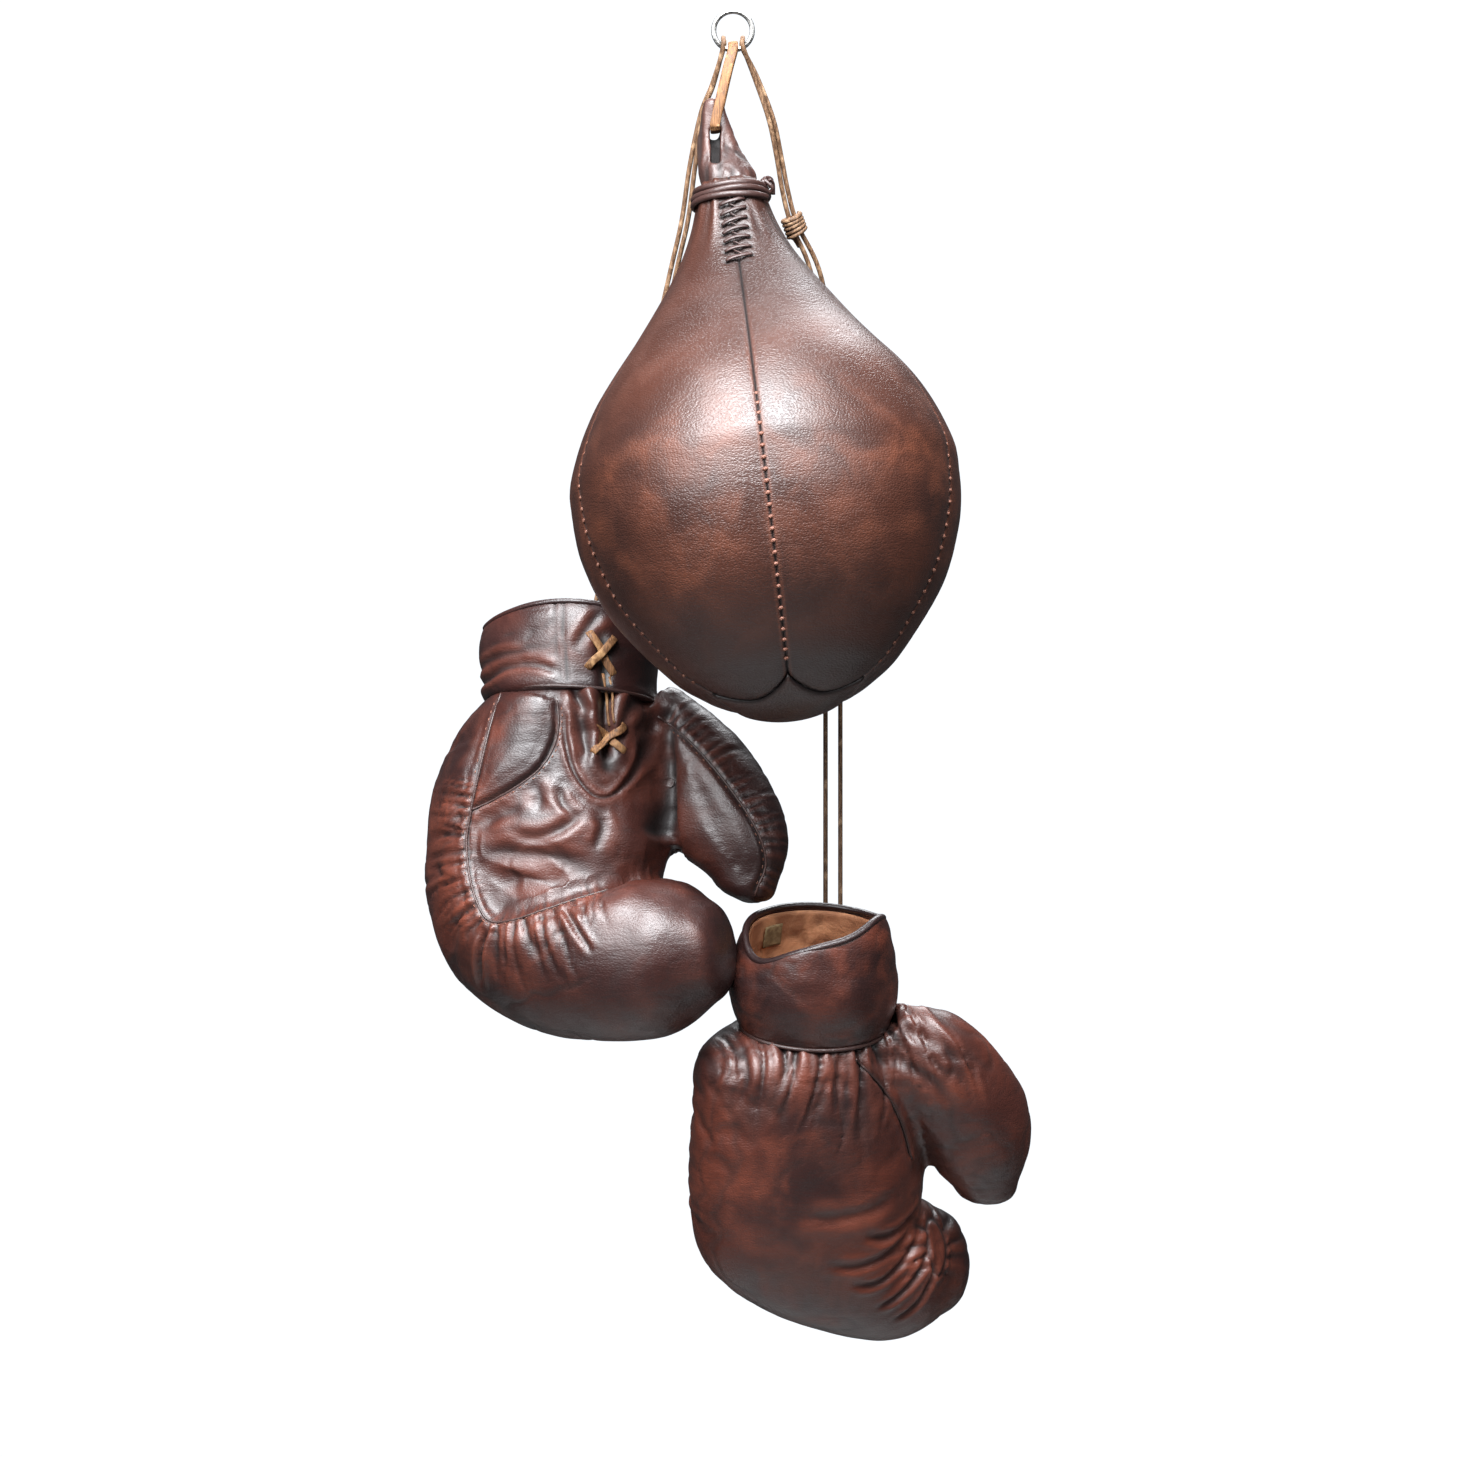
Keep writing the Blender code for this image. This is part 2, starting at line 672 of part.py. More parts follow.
def build_lace_cross(name, ribs, row, angle, lift, parent):
    """Two flat straps of lace crossing over the wrist slit, as one X-shaped plate."""
    turn = math.radians(angle)
    here = surface_point(ribs, row, turn, lift)
    out = (surface_point(ribs, row, turn, 2 * lift) - here).normalized()
    up = (surface_point(ribs, row - 0.2, turn, lift) - here).normalized()
    side = up.cross(out).normalized()
    up = out.cross(side)
    x, y = STRAP_REACH
    half = STRAP_WIDTH / 2 * math.hypot(x, y)
    notch_side, notch_up = half / y, half / x
    outline = []
    for sx, sy in ((1, 1), (-1, 1), (-1, -1), (1, -1)):
        ends = [(sx * x, sy * (y - notch_up)), (sx * (x - notch_side), sy * y)]
        outline += ends if sx == sy else ends[::-1]
        outline.append((0, sy * notch_up) if sx == sy else (sx * notch_side, 0))
    rings = [
        [here + side * a + up * b + out * level for a, b in outline]
        for level in (-PATCH_THICKNESS / 2, PATCH_THICKNESS / 2)
    ]
    add_object(name, solid_mesh(name, rings), tan_leather(), parent, smooth=False)


def build_trim(side, shapes, parent):
    """The welt between cuff and mitt, and the rolled binding round the mouth."""
    cuff, mitt = shapes["cuff"], shapes["mitt"]
    between = tuple((a + b) / 2 for a, b in zip(cuff[-1], mitt[0]))
    tube_object(f"{side}_welt", rib_ring(between), WELT_RADIUS, oxblood_leather(), parent, closed=True)
    lift = Vector((0, 0, BINDING_RADIUS + 2 * GAP))
    rim = [point + lift for point in rib_ring(cuff[0], LEATHER / 2)]
    tube_object(f"{side}_mouth_binding", rim, BINDING_RADIUS, oxblood_leather(), parent, closed=True)


def build_facings(side, shapes, front, parent):
    """The sewn-on panels and the laces, on the side where the palm faces. Front is -1, rear is 1."""
    mitt, cuff, thumb = shapes["mitt"], shapes["cuff"], shapes["thumb"]
    leather = oxblood_leather()
    build_patch(f"{side}_wrist_patch", mitt, (0.4, 1.8), (front * 5, front * 7), leather, parent)
    build_patch(f"{side}_palm_panel", mitt, (2, 5), (front * 2, front * 7), leather, parent)
    panel = build_patch(f"{side}_thumb_panel", thumb, (1.3, 4), (front * 3, front * 6), leather, parent)
    cut(panel, bpy.data.objects[f"{side}_mitt_space"])
    turn = front * shapes["lace_angle"]
    build_lace_cross(f"{side}_upper_lace_cross", cuff, 1.0, turn, CUFF_LACE_LIFT, parent)
    build_lace_cross(f"{side}_lower_lace_cross", mitt, 1.5, turn, MITT_LACE_LIFT, parent)


def build_label(parent):
    """A blank cloth label on the inside of the right cuff's rear wall."""
    corners = ((1, 1), (-1, 1), (-1, -1), (1, -1))
    half = LABEL_SIDE / 2
    turn = math.radians(LABEL_ANGLE)
    ribs = RIGHT_CUFF
    inset = -LEATHER - LINING - 3 * GAP - LABEL_BOW
    here, below = (surface_point(ribs, row, turn, inset) for row in LABEL_ROWS)
    down = (below - here).normalized()
    inward = Vector((-math.cos(turn) / ribs[0][2], -math.sin(turn) / ribs[0][5], 0))
    inward = (inward - down * inward.dot(down)).normalized()
    side = down.cross(inward)
    rings = [
        [here + side * a * half + down * b * half + inward * level for a, b in corners]
        for level in (0, LABEL_THICKNESS)
    ]
    add_object("right_cuff_label", solid_mesh("right_cuff_label", rings), lining_cloth(), parent, smooth=False)


def glove_frame(name, mouth, lean, turn):
    """The glove's frame at the middle of its mouth: turned about Z, then leaned about X."""
    matrix = Matrix.Translation(mouth) @ Matrix.Rotation(lean, 4, "X") @ Matrix.Rotation(turn, 4, "Z")
    return add_empty(name, matrix)


def build_glove(side, shapes, front, frame):
    build_cuff(side, shapes["cuff"], frame)
    build_mitt(side, shapes["mitt"], shapes["mitt_tip"], frame)
    build_thumb(side, shapes, frame)
    build_trim(side, shapes, frame)
    build_facings(side, shapes, front, frame)


def build_gloves():
    left = glove_frame("left_glove_frame", LEFT_MOUTH, LEFT_LEAN, LEFT_TURN)
    right = glove_frame("right_glove_frame", RIGHT_MOUTH, RIGHT_LEAN, RIGHT_TURN)
    build_glove("left", LEFT_SHAPES, -1, left)
    build_glove("right", RIGHT_SHAPES, 1, right)
    build_label(right)


# Glove laces: up from one eyelet, over the ring's wire, and down to the other. Millimetres.

LEFT_FRONT_RUN = (
    (-12, 3, -43), (-18.5, 9, -60), (-23.5, 15, -92), (-28, 22, -125), (-35, 30, -155),
    (-48, 45, -215), (-62, 57, -285), (-74, 65, -340), (-79, 68, -368),
)
LEFT_BACK_RUN = (
    (-13, 7, -43), (-20, 13.5, -60), (-27, 20, -92), (-32, 27, -125), (-39, 35, -155),
    (-53, 50, -215), (-68, 62, -285), (-82, 69, -340), (-88, 71, -368),
)
RIGHT_FRONT_RUN = (
    (13, 4, -38), (22, 11, -63), (27, 19, -85), (31, 27, -107), (36.5, 34, -127),
    (50, 47, -160), (57, 74, -225), (58, 82, -260), (59, 83, -300), (59, 83, -440), (59, 83, -578),
)
RIGHT_BACK_RUN = (
    (15, 9, -38), (25, 15, -63), (30, 22, -85), (34.5, 29, -107), (40.5, 36, -127),
    (56, 49, -160), (66, 76, -225), (68, 84, -260), (68.5, 85, -300), (68.5, 85, -440), (68.5, 85, -578),
)
CORD_STEPS = 3
# The knot lies along the right lace, and is widest across its two runs.
KNOT_ENDS = ((34.5, 31.2, -117), (42.2, 38.8, -137))
KNOT_ACROSS = (4, 2, 0)
# Rings of the knot: place along it, and how much wider than its ends.
KNOT_RINGS = ((-0.5, 0.0), (-0.3, 1.6 * MM), (0.3, 1.6 * MM), (0.5, 0.0))
KNOT_OUTSIDE = (6 * MM, 4 * MM)
KNOT_INSIDE = (4.9 * MM, 2.8 * MM)
KNOT_SEGMENTS = 16
CORD_OVER_WIRE = 2.9 * MM


def cord_points(front_run, back_run, side):
    """The whole route: up the front run, over the wire and down the back run."""
    x = side * CORD_OFFSET
    wire_z = RING_CENTRE.z - math.sqrt(RING_RADIUS**2 - CORD_OFFSET**2)
    reach = RING_WIRE + CORD_RADIUS + CORD_OVER_WIRE
    over = [
        Vector((x, -reach * math.cos(a), wire_z + reach * math.sin(a)))
        for a in (math.pi * i / 4 for i in range(5))
    ]
    front = [Vector(p) * MM for p in reversed(front_run)]
    back = [Vector(p) * MM for p in back_run]
    return smooth_through([*front, *over, *back], CORD_STEPS)


def build_knot():
    """The wrapped knot that holds the two runs of the right glove's lace together."""
    top, low = (Vector(p) * MM for p in KNOT_ENDS)
    along = (low - top).normalized()
    across = Vector(KNOT_ACROSS).normalized()
    across = (across - along * across.dot(along)).normalized()
    deep = along.cross(across)
    middle = (top + low) / 2
    outer, inner = [], []
    for share, grow in KNOT_RINGS:
        centre = middle + along * share * KNOT_HEIGHT
        for rings, (wide, thick), more in ((outer, KNOT_OUTSIDE, grow), (inner, KNOT_INSIDE, 0.0)):
            wide, thick = wide + more, thick + more
            angles = (2 * math.pi * i / KNOT_SEGMENTS for i in range(KNOT_SEGMENTS))
            rings.append([centre + across * wide * math.cos(a) + deep * thick * math.sin(a) for a in angles])
    add_object("right_cord_knot", sleeve_mesh("right_cord_knot", outer, inner), tan_leather())


def build_cords():
    left = cord_points(LEFT_FRONT_RUN, LEFT_BACK_RUN, -1)
    right = cord_points(RIGHT_FRONT_RUN, RIGHT_BACK_RUN, 1)
    tube_object("left_glove_cord", left, CORD_RADIUS, tan_leather())
    tube_object("right_glove_cord", right, CORD_RADIUS, tan_leather())
    build_knot()


def main():
    clear_scene()
    build_ring()
    build_bag()
    build_gloves()
    build_cords()


main()
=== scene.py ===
"""Looks for the leather speed bag and lace-up gloves that hang from one ring.

Glove and bag shapes are in millimetres in their own frames, and become metres in the row frame as meshes.
"""

import json
import math

import bpy
import numpy as np
from mathutils import Matrix, Vector
from mathutils.bvhtree import BVHTree

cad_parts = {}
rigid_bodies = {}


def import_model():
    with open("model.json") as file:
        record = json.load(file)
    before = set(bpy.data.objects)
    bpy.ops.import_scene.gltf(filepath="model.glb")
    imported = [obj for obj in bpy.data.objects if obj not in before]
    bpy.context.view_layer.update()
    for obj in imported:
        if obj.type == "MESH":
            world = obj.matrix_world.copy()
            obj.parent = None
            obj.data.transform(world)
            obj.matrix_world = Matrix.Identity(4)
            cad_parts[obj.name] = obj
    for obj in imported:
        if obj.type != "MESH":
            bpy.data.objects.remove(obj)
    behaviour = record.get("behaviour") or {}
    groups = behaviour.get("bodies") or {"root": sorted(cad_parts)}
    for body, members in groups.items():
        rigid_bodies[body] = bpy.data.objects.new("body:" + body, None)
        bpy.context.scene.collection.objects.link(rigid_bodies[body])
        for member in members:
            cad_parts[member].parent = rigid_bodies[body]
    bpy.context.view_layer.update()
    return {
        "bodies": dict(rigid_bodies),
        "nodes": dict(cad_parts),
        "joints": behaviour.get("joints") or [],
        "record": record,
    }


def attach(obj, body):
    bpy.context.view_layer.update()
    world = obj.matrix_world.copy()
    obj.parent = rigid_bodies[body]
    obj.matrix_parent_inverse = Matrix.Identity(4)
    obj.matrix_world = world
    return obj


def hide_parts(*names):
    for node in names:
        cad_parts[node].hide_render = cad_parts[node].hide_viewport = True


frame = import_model()

MM = 0.001
TO_METRES = Matrix.Scale(MM, 4)

# Camera and backdrop.
CAMERA_DISTANCE = 3.0
CAMERA_X = -0.0028
CAMERA_Z = -0.443
FRAME_WIDTH = 0.9033
SENSOR = 36.0
FLOOR_Z = -2.1
FLOOR_RADIUS = 2.0
FLOOR_THICK = 0.02
WORLD_COLOUR = (0.93, 0.96, 1.0, 1)
WORLD_ON_OBJECT, WORLD_BEHIND = 0.06, 1.1
LIGHT_COLOUR = (0.94, 0.97, 1.0)
LIGHT_SPREAD = 100
# Place, what it points at, size and power.
LIGHT_PANELS = {
    "sky_panel": ((-0.1, -1.0, 0.95), (0.0, 0.0, -0.35), (1.5, 0.9), 40),
    "left_panel": ((-0.95, -1.4, 0.45), (0.0, 0.0, -0.4), (1.2, 1.1), 11),
    "right_panel": ((1.0, -1.5, 0.4), (0.0, 0.0, -0.4), (0.9, 0.9), 3.2),
    "rear_panel": ((0.2, 1.5, 1.3), (0.0, 0.0, -0.4), (1.4, 0.9), 14),
}

# Cords: up from one glove, over the ring's wire, and back down. Millimetres, as in the CAD.
RING_CENTRE_Z = -10.4
RING_RADIUS = 12
RING_WIRE = 1.6
CORD_RADIUS = 1.5
CORD_OFFSET = 6
CORD_OVER_WIRE = 2.9
CORD_STEPS = 8
LEFT_FRONT_RUN = (
    (-12, 3, -43), (-18.5, 9, -60), (-23.5, 15, -92), (-28, 22, -125), (-35, 30, -155),
    (-48, 45, -215), (-62, 57, -285), (-74, 65, -340), (-79, 68, -368),
)
LEFT_BACK_RUN = (
    (-13, 7, -43), (-20, 13.5, -60), (-27, 20, -92), (-32, 27, -125), (-39, 35, -155),
    (-53, 50, -215), (-68, 62, -285), (-82, 69, -340), (-88, 71, -368),
)
RIGHT_FRONT_RUN = (
    (13, 4, -38), (22, 11, -63), (27, 19, -85), (31, 27, -107), (36.5, 34, -127),
    (50, 47, -160), (57, 74, -225), (58, 82, -260), (59, 83, -300), (59, 83, -440), (59, 83, -578),
)
RIGHT_BACK_RUN = (
    (15, 9, -38), (25, 15, -63), (30, 22, -85), (34.5, 29, -107), (40.5, 36, -127),
    (56, 49, -160), (66, 76, -225), (68, 84, -260), (68.5, 85, -300), (68.5, 85, -440), (68.5, 85, -578),
)
LEFT_CORD_LENGTH = 0.748
RIGHT_CORD_LENGTH = 1.182
KNOT_TOP, KNOT_LOW = (34.5, 31.2, -117), (42.2, 38.8, -137)
KNOT_ACROSS = (0.88, 0.44, 0.0)
KNOT_TURNS, KNOT_PER_TURN = 4.6, 18
KNOT_LENGTH, KNOT_HALF_WIDTH, KNOT_HALF_DEPTH = 11.5, 6.1, 4.5


# Numbers and meshes


def catmull(rows, steps, closed=False):
    """Rows on a smooth curve through the given ones, with so many steps between neighbours."""
    rows = np.asarray(rows, float)
    if closed:
        ends = np.vstack([rows[-1], rows, rows[0], rows[1]])
    else:
        ends = np.vstack([2 * rows[0] - rows[1], rows, 2 * rows[-1] - rows[-2]])
    found = []
    for a, b, c, d in zip(ends, ends[1:], ends[2:], ends[3:]):
        for t in np.arange(steps) / steps:
            square, cube = 2 * a - 5 * b + 4 * c - d, 3 * b - a - 3 * c + d
            found.append(0.5 * (2 * b + (c - a) * t + square * t**2 + cube * t**3))
    if not closed:
        found.append(rows[-1])
    return np.array(found)


def smoothstep(low, high, x):
    t = np.clip((x - low) / (high - low), 0, 1)
    return t * t * (3 - 2 * t)


def bell(x, width):
    return np.exp(-((x / width) ** 2))


def hashed(ix, iy, iz, seed):
    n = ix * 374761393 + iy * 668265263 + iz * 2147483647 + seed * 1274126177
    n = (n ^ (n >> 13)) * 1103515245
    n = (n ^ (n >> 16)) & 0xFFFFFF
    return n / 0xFFFFFF * 2 - 1


def noise(points, size, seed=0):
    """Smooth noise from -1 to 1 at each point, with bumps of about that size."""
    p = np.asarray(points, float) / size
    cell = np.floor(p).astype(np.int64)
    f = p - cell
    f = f * f * (3 - 2 * f)
    total = 0
    for corner in np.ndindex(2, 2, 2):
        weight = np.ones(len(p))
        for axis, step in enumerate(corner):
            weight = weight * (f[:, axis] if step else 1 - f[:, axis])
        total = total + weight * hashed(*(cell + corner).T, seed)
    return total


def noise_line(s, size, seed=0):
    s = np.asarray(s, float)
    return noise(np.column_stack([s, np.full(len(s), 0.37), np.full(len(s), 0.71)]), size, seed)


def skin(rings, start=None, end=None, closed=False):
    """(points, faces) through rings of equal count, closed by tips at its ends or joined last to first."""
    count = len(rings[0])
    points = [np.asarray(ring, float) for ring in rings]
    total = len(rings)
    faces = []
    for r in range(total if closed else total - 1):
        a, b = r * count, (r + 1) % total * count
        for i in range(count):
            j = (i + 1) % count
            faces.append((a + i, a + j, b + j, b + i))
    size = total * count
    for tip, base, turn in ((start, 0, -1), (end, (total - 1) * count, 1)):
        if tip is None:
            continue
        points.append(np.asarray(tip, float)[None])
        for i in range(count):
            j = (i + 1) % count
            faces.append((base + i, base + j, size)[::turn])
        size += 1
    return np.vstack(points), faces


def joined(parts):
    """One (points, faces) from several."""
    points, faces, start = [], [], 0
    for p, f in parts:
        points.append(p)
        faces += [tuple(i + start for i in face) for face in f]
        start += len(p)
    return np.vstack(points), faces


def mesh_object(name, points, faces, matrix, material, attributes=None, smooth=True):
    mesh = bpy.data.meshes.new(name)
    moved = np.asarray(points, float) @ np.array(matrix.to_3x3()).T + np.array(matrix.translation)
    mesh.from_pydata(moved.tolist(), [], faces)
    mesh.validate()
    if volume_of(mesh) < 0:
        mesh.flip_normals()
    if smooth:
        mesh.shade_smooth()
    for key, values in (attributes or {}).items():
        layer = mesh.attributes.new(key, "FLOAT", "POINT")
        layer.data.foreach_set("value", np.asarray(values, np.float32))
    mesh.materials.append(material)
    obj = bpy.data.objects.new(name, mesh)
    bpy.context.scene.collection.objects.link(obj)
    return obj


def volume_of(mesh):
    mesh.calc_loop_triangles()
    points = np.empty(len(mesh.vertices) * 3)
    mesh.vertices.foreach_get("co", points)
    faces = np.empty(len(mesh.loop_triangles) * 3, np.int32)
    mesh.loop_triangles.foreach_get("vertices", faces)
    a, b, c = points.reshape(-1, 3)[faces.reshape(-1, 3)].transpose(1, 0, 2)
    return float(np.einsum("ij,ij->", a, np.cross(b, c)))


def worked(points, faces, modifiers):
    """(points, normals, faces) after modifiers, each a (type, settings) pair."""
    mesh = bpy.data.meshes.new("work")
    mesh.from_pydata(np.asarray(points).tolist(), [], faces)
    obj = bpy.data.objects.new("work", mesh)
    bpy.context.scene.collection.objects.link(obj)
    for kind, settings in modifiers:
        modifier = obj.modifiers.new(kind, kind)
        for key, value in settings.items():
            setattr(modifier, key, value)
    done = obj.evaluated_get(bpy.context.evaluated_depsgraph_get()).to_mesh()
    points = np.empty(len(done.vertices) * 3)
    done.vertices.foreach_get("co", points)
    normals = np.empty(len(done.vertices) * 3)
    done.vertex_normals.foreach_get("vector", normals)
    faces = [tuple(p.vertices) for p in done.polygons]
    bpy.data.objects.remove(obj)
    bpy.data.meshes.remove(mesh)
    return points.reshape(-1, 3), normals.reshape(-1, 3), faces


def sweep(points, outline, ups=None, closed=False):
    """(points, faces) of an outline carried along a line. Ups points the outline's second axis."""
    points = np.asarray(points, float)
    ahead = np.roll(points, -1, 0) - np.roll(points, 1, 0)
    if not closed:
        ahead[0], ahead[-1] = points[1] - points[0], points[-1] - points[-2]
    ahead /= np.linalg.norm(ahead, axis=1)[:, None]
    rings = []
    up = np.array([0.31, 0.22, 0.93])
    for i, (p, t) in enumerate(zip(points, ahead)):
        up = np.asarray(ups[i], float) if ups is not None else up
        up = up - t * up.dot(t)
        up = up / np.linalg.norm(up)
        side = np.cross(t, up)
        rings.append(p + outline[:, :1] * side + outline[:, 1:] * up)
    if closed:
        return skin(rings, closed=True)
    return skin(rings, points[0], points[-1])


def round_outline(width, thick, count=10):
    a = 2 * math.pi * np.arange(count) / count
    return np.column_stack([width * np.cos(a), thick * np.sin(a)])


def strap_outline(half_width, half_thick, count=16):
    """A flat strap with rounded edges."""
    a = 2 * math.pi * np.arange(count) / count
    x, y = np.cos(a), np.sin(a)
    x, y = np.sign(x) * abs(x) ** 0.45, np.sign(y) * abs(y) ** 0.7
    return np.column_stack([half_width * x, half_thick * y])


def beads(places, alongs, ups, half):
    """Rounded stitches at the places, long along one direction and raised along the other."""
    rows, columns = 5, 8
    parts = []
    for place, along, up in zip(places, alongs, ups):
        along = along / np.linalg.norm(along)
        up = up - along * up.dot(along)
        up = up / np.linalg.norm(up)
        side = np.cross(along, up)
        rings = []
        for r in range(1, rows):
            turn = math.pi * r / rows
            outline = round_outline(half[1], half[2], columns)
            ring = outline[:, :1] * side + outline[:, 1:] * up
            rings.append(place - half[0] * math.cos(turn) * along + math.sin(turn) * ring)
        parts.append(skin(rings, place - half[0] * along, place + half[0] * along))
    return joined(parts)


# Materials


class Graph:
    """Short calls for building one material's nodes."""

    def __init__(self, name):
        self.material = bpy.data.materials.new(name)
        self.material.use_nodes = True
        self.tree = self.material.node_tree
        self.shader = self.tree.nodes["Principled BSDF"]

    def node(self, kind, inputs=(), **settings):
        made = self.tree.nodes.new("ShaderNode" + kind)
        for key, value in settings.items():
            setattr(made, key, value)
        for key, value in dict(inputs).items():
            self.feed(value, made.inputs[key])
        return made

    def feed(self, value, socket):
        if isinstance(value, bpy.types.NodeSocket):
            self.tree.links.new(value, socket)
        else:
            socket.default_value = value

    def places(self):
        return self.node("TexCoord").outputs["Object"]

    def stretched(self, scale):
        return self.node("Mapping", {"Vector": self.places(), "Scale": scale}).outputs[0]

    def noise(self, scale, detail=4.0, distortion=0.0, vector=None):
        vector = vector or self.places()
        inputs = {"Vector": vector, "Scale": scale, "Detail": detail, "Distortion": distortion}
        return self.node("TexNoise", inputs).outputs["Fac"]

    def attribute(self, name):
        return self.node("Attribute", attribute_name=name).outputs["Fac"]

    def math(self, operation, a, b=0.0, clamp=False):
        return self.node("Math", {0: a, 1: b}, operation=operation, use_clamp=clamp).outputs[0]

    def span(self, value, low, high, to_low=0.0, to_high=1.0):
        inputs = {"Value": value, "From Min": low, "From Max": high, "To Min": to_low, "To Max": to_high}
        return self.node("MapRange", inputs, interpolation_type="SMOOTHSTEP").outputs["Result"]

    def mix(self, factor, a, b):
        made = self.node("Mix", data_type="RGBA")
        self.feed(factor, made.inputs["Factor"])
        for value, socket in ((a, made.inputs[6]), (b, made.inputs[7])):
            self.feed((*value, 1) if isinstance(value, tuple) else value, socket)
        return made.outputs[2]

    def bump(self, height, strength, distance, before=None):
        inputs = {"Height": height, "Strength": strength, "Distance": distance}
        if before:
            inputs["Normal"] = before
        return self.node("Bump", inputs).outputs["Normal"]

    def finish(self, **inputs):
        for key, value in inputs.items():
            self.feed(value, self.shader.inputs[key.replace("_", " ")])
        return self.material


def aged_leather(name, dark, mid, warm, gloss, seed=0.0, grain=0.2):
    """Polished old leather: patina in clouds, painted shade near black in creases, seams and holes, and paler
    where it is rubbed, which also paints a highlight on raised ridges and seam edges.
    """
    g = Graph(name)
    moved = {"Vector": g.places(), "Location": (seed, seed * 0.7, seed * 1.3)}
    shifted = g.node("Mapping", moved).outputs[0]
    cloud = g.noise(7.0, 2.0, 0.3, shifted)
    mottle = g.noise(38.0, 7.0, 0.4, shifted)
    tone, crease, wear = (g.attribute(name) for name in ("tone", "crease", "wear"))
    base = g.mix(g.span(cloud, 0.3, 0.7), dark, mid)
    for pattern, low, high, share in ((mottle, 0.38, 0.8, 0.75), (cloud, 0.42, 0.75, 0.5)):
        shown = g.math("MULTIPLY", g.span(pattern, low, high), g.math("MULTIPLY", tone, share))
        base = g.mix(shown, base, warm)
    # Painted shade: creases, seam lines, holes and hollows go near black.
    base = g.mix(g.math("MULTIPLY", crease, 0.9, True), base, (0.005, 0.003, 0.003))
    # Paler warm brown on raised ridges and seam edges: partly rubbed leather, partly a painted highlight.
    base = g.mix(g.math("MULTIPLY", wear, 0.55, True), base, tuple(1.4 * c + 0.02 for c in warm))
    pebbles = g.node("TexVoronoi", {"Vector": g.stretched((1, 1, 1.5)), "Scale": 620.0}).outputs["Distance"]
    fine = g.noise(2300.0, 3.0)
    long_lines = g.noise(150.0, 4.0, 1.2, g.stretched((0.35, 0.35, 1.6)))
    normal = g.bump(long_lines, 0.26, 0.0012)
    normal = g.bump(g.span(pebbles, 0.05, 0.7), grain, 0.0006, normal)
    normal = g.bump(fine, 0.12, 0.0002, normal)
    rough = g.span(mottle, 0.3, 0.75, gloss - 0.06, gloss + 0.08)
    rough = g.math("ADD", rough, g.math("MULTIPLY", crease, 0.25))
    return g.finish(
        Base_Color=base, Roughness=rough, Normal=normal,
        Specular_IOR_Level=0.6, Coat_Weight=0.4, Coat_Roughness=0.38,
    )


def lace_leather(name, dark, mid, pale):
    """Dry, narrow leather: fibres along its length and dark, handled patches."""
    g = Graph(name)
    fibre = g.noise(900.0, 5.0, 0.4, g.stretched((1, 1, 0.12)))
    patch = g.noise(120.0, 4.0, 0.5)
    base = g.mix(g.span(fibre, 0.35, 0.68), dark, mid)
    base = g.mix(g.span(patch, 0.52, 0.72), base, pale)
    normal = g.bump(fibre, 0.5, 0.0006)
    normal = g.bump(g.noise(1800.0, 3.0), 0.25, 0.0003, normal)
    return g.finish(Base_Color=base, Roughness=g.span(fibre, 0.3, 0.7, 0.5, 0.75), Normal=normal)


def lining_leather(name):
    """Tan suede-like lining with stains, and painted shade in its creases and deep inside the glove."""
    g = Graph(name)
    cloud = g.noise(35.0, 5.0, 1.0)
    fuzz = g.noise(1400.0, 4.0)
    base = g.mix(g.span(cloud, 0.35, 0.7), (0.30, 0.12, 0.055), (0.72, 0.34, 0.17))
    # Painted shade: darker in the rucks and deeper inside the glove.
    base = g.mix(g.math("MULTIPLY", g.attribute("crease"), 0.7, True), base, (0.05, 0.018, 0.009))
    normal = g.bump(g.noise(160.0, 5.0, 1.5), 0.45, 0.0015)
    normal = g.bump(fuzz, 0.35, 0.0004, normal)
    return g.finish(Base_Color=base, Roughness=g.span(fuzz, 0.3, 0.7, 0.62, 0.85), Normal=normal)


def thread(name, colour, pale):
    """Waxed twisted thread."""
    g = Graph(name)
    inputs = {"Scale": 420.0, "Distortion": 2.0, "Vector": g.places()}
    twist = g.node("TexWave", inputs, bands_direction="DIAGONAL").outputs["Fac"]
    base = g.mix(g.span(twist, 0.2, 0.8), colour, pale)
    return g.finish(Base_Color=base, Roughness=0.5, Normal=g.bump(twist, 0.4, 0.0003))


def brushed_steel(name):
    g = Graph(name)
    lines = g.noise(700.0, 4.0, 0.2, g.stretched((0.3, 1, 1)))
    base = g.mix(g.span(g.noise(90.0, 5.0), 0.4, 0.75), (0.5, 0.49, 0.47), (0.24, 0.22, 0.2))
    rough = g.span(lines, 0.3, 0.7, 0.25, 0.48)
    return g.finish(Base_Color=base, Metallic=1.0, Roughness=rough, Normal=g.bump(lines, 0.2, 0.0002))


def woven_label(name):
    g = Graph(name)
    inputs = {"Scale": 900.0, "Vector": g.places()}
    warp, weft = (g.node("TexWave", inputs, bands_direction=way).outputs["Fac"] for way in "XZ")
    weave = g.math("MULTIPLY", warp, weft)
    base = g.mix(g.span(g.noise(300.0, 4.0), 0.35, 0.7), (0.2, 0.13, 0.06), (0.36, 0.26, 0.13))
    return g.finish(Base_Color=base, Roughness=0.85, Normal=g.bump(weave, 0.5, 0.0004))


def black_rubber(name):
    g = Graph(name)
    dust = g.noise(240.0, 5.0)
    base = g.mix(g.span(dust, 0.4, 0.8), (0.02, 0.02, 0.02), (0.06, 0.055, 0.05))
    rough = g.span(dust, 0.3, 0.7, 0.5, 0.7)
    return g.finish(Base_Color=base, Roughness=rough, Normal=g.bump(dust, 0.2, 0.0004))


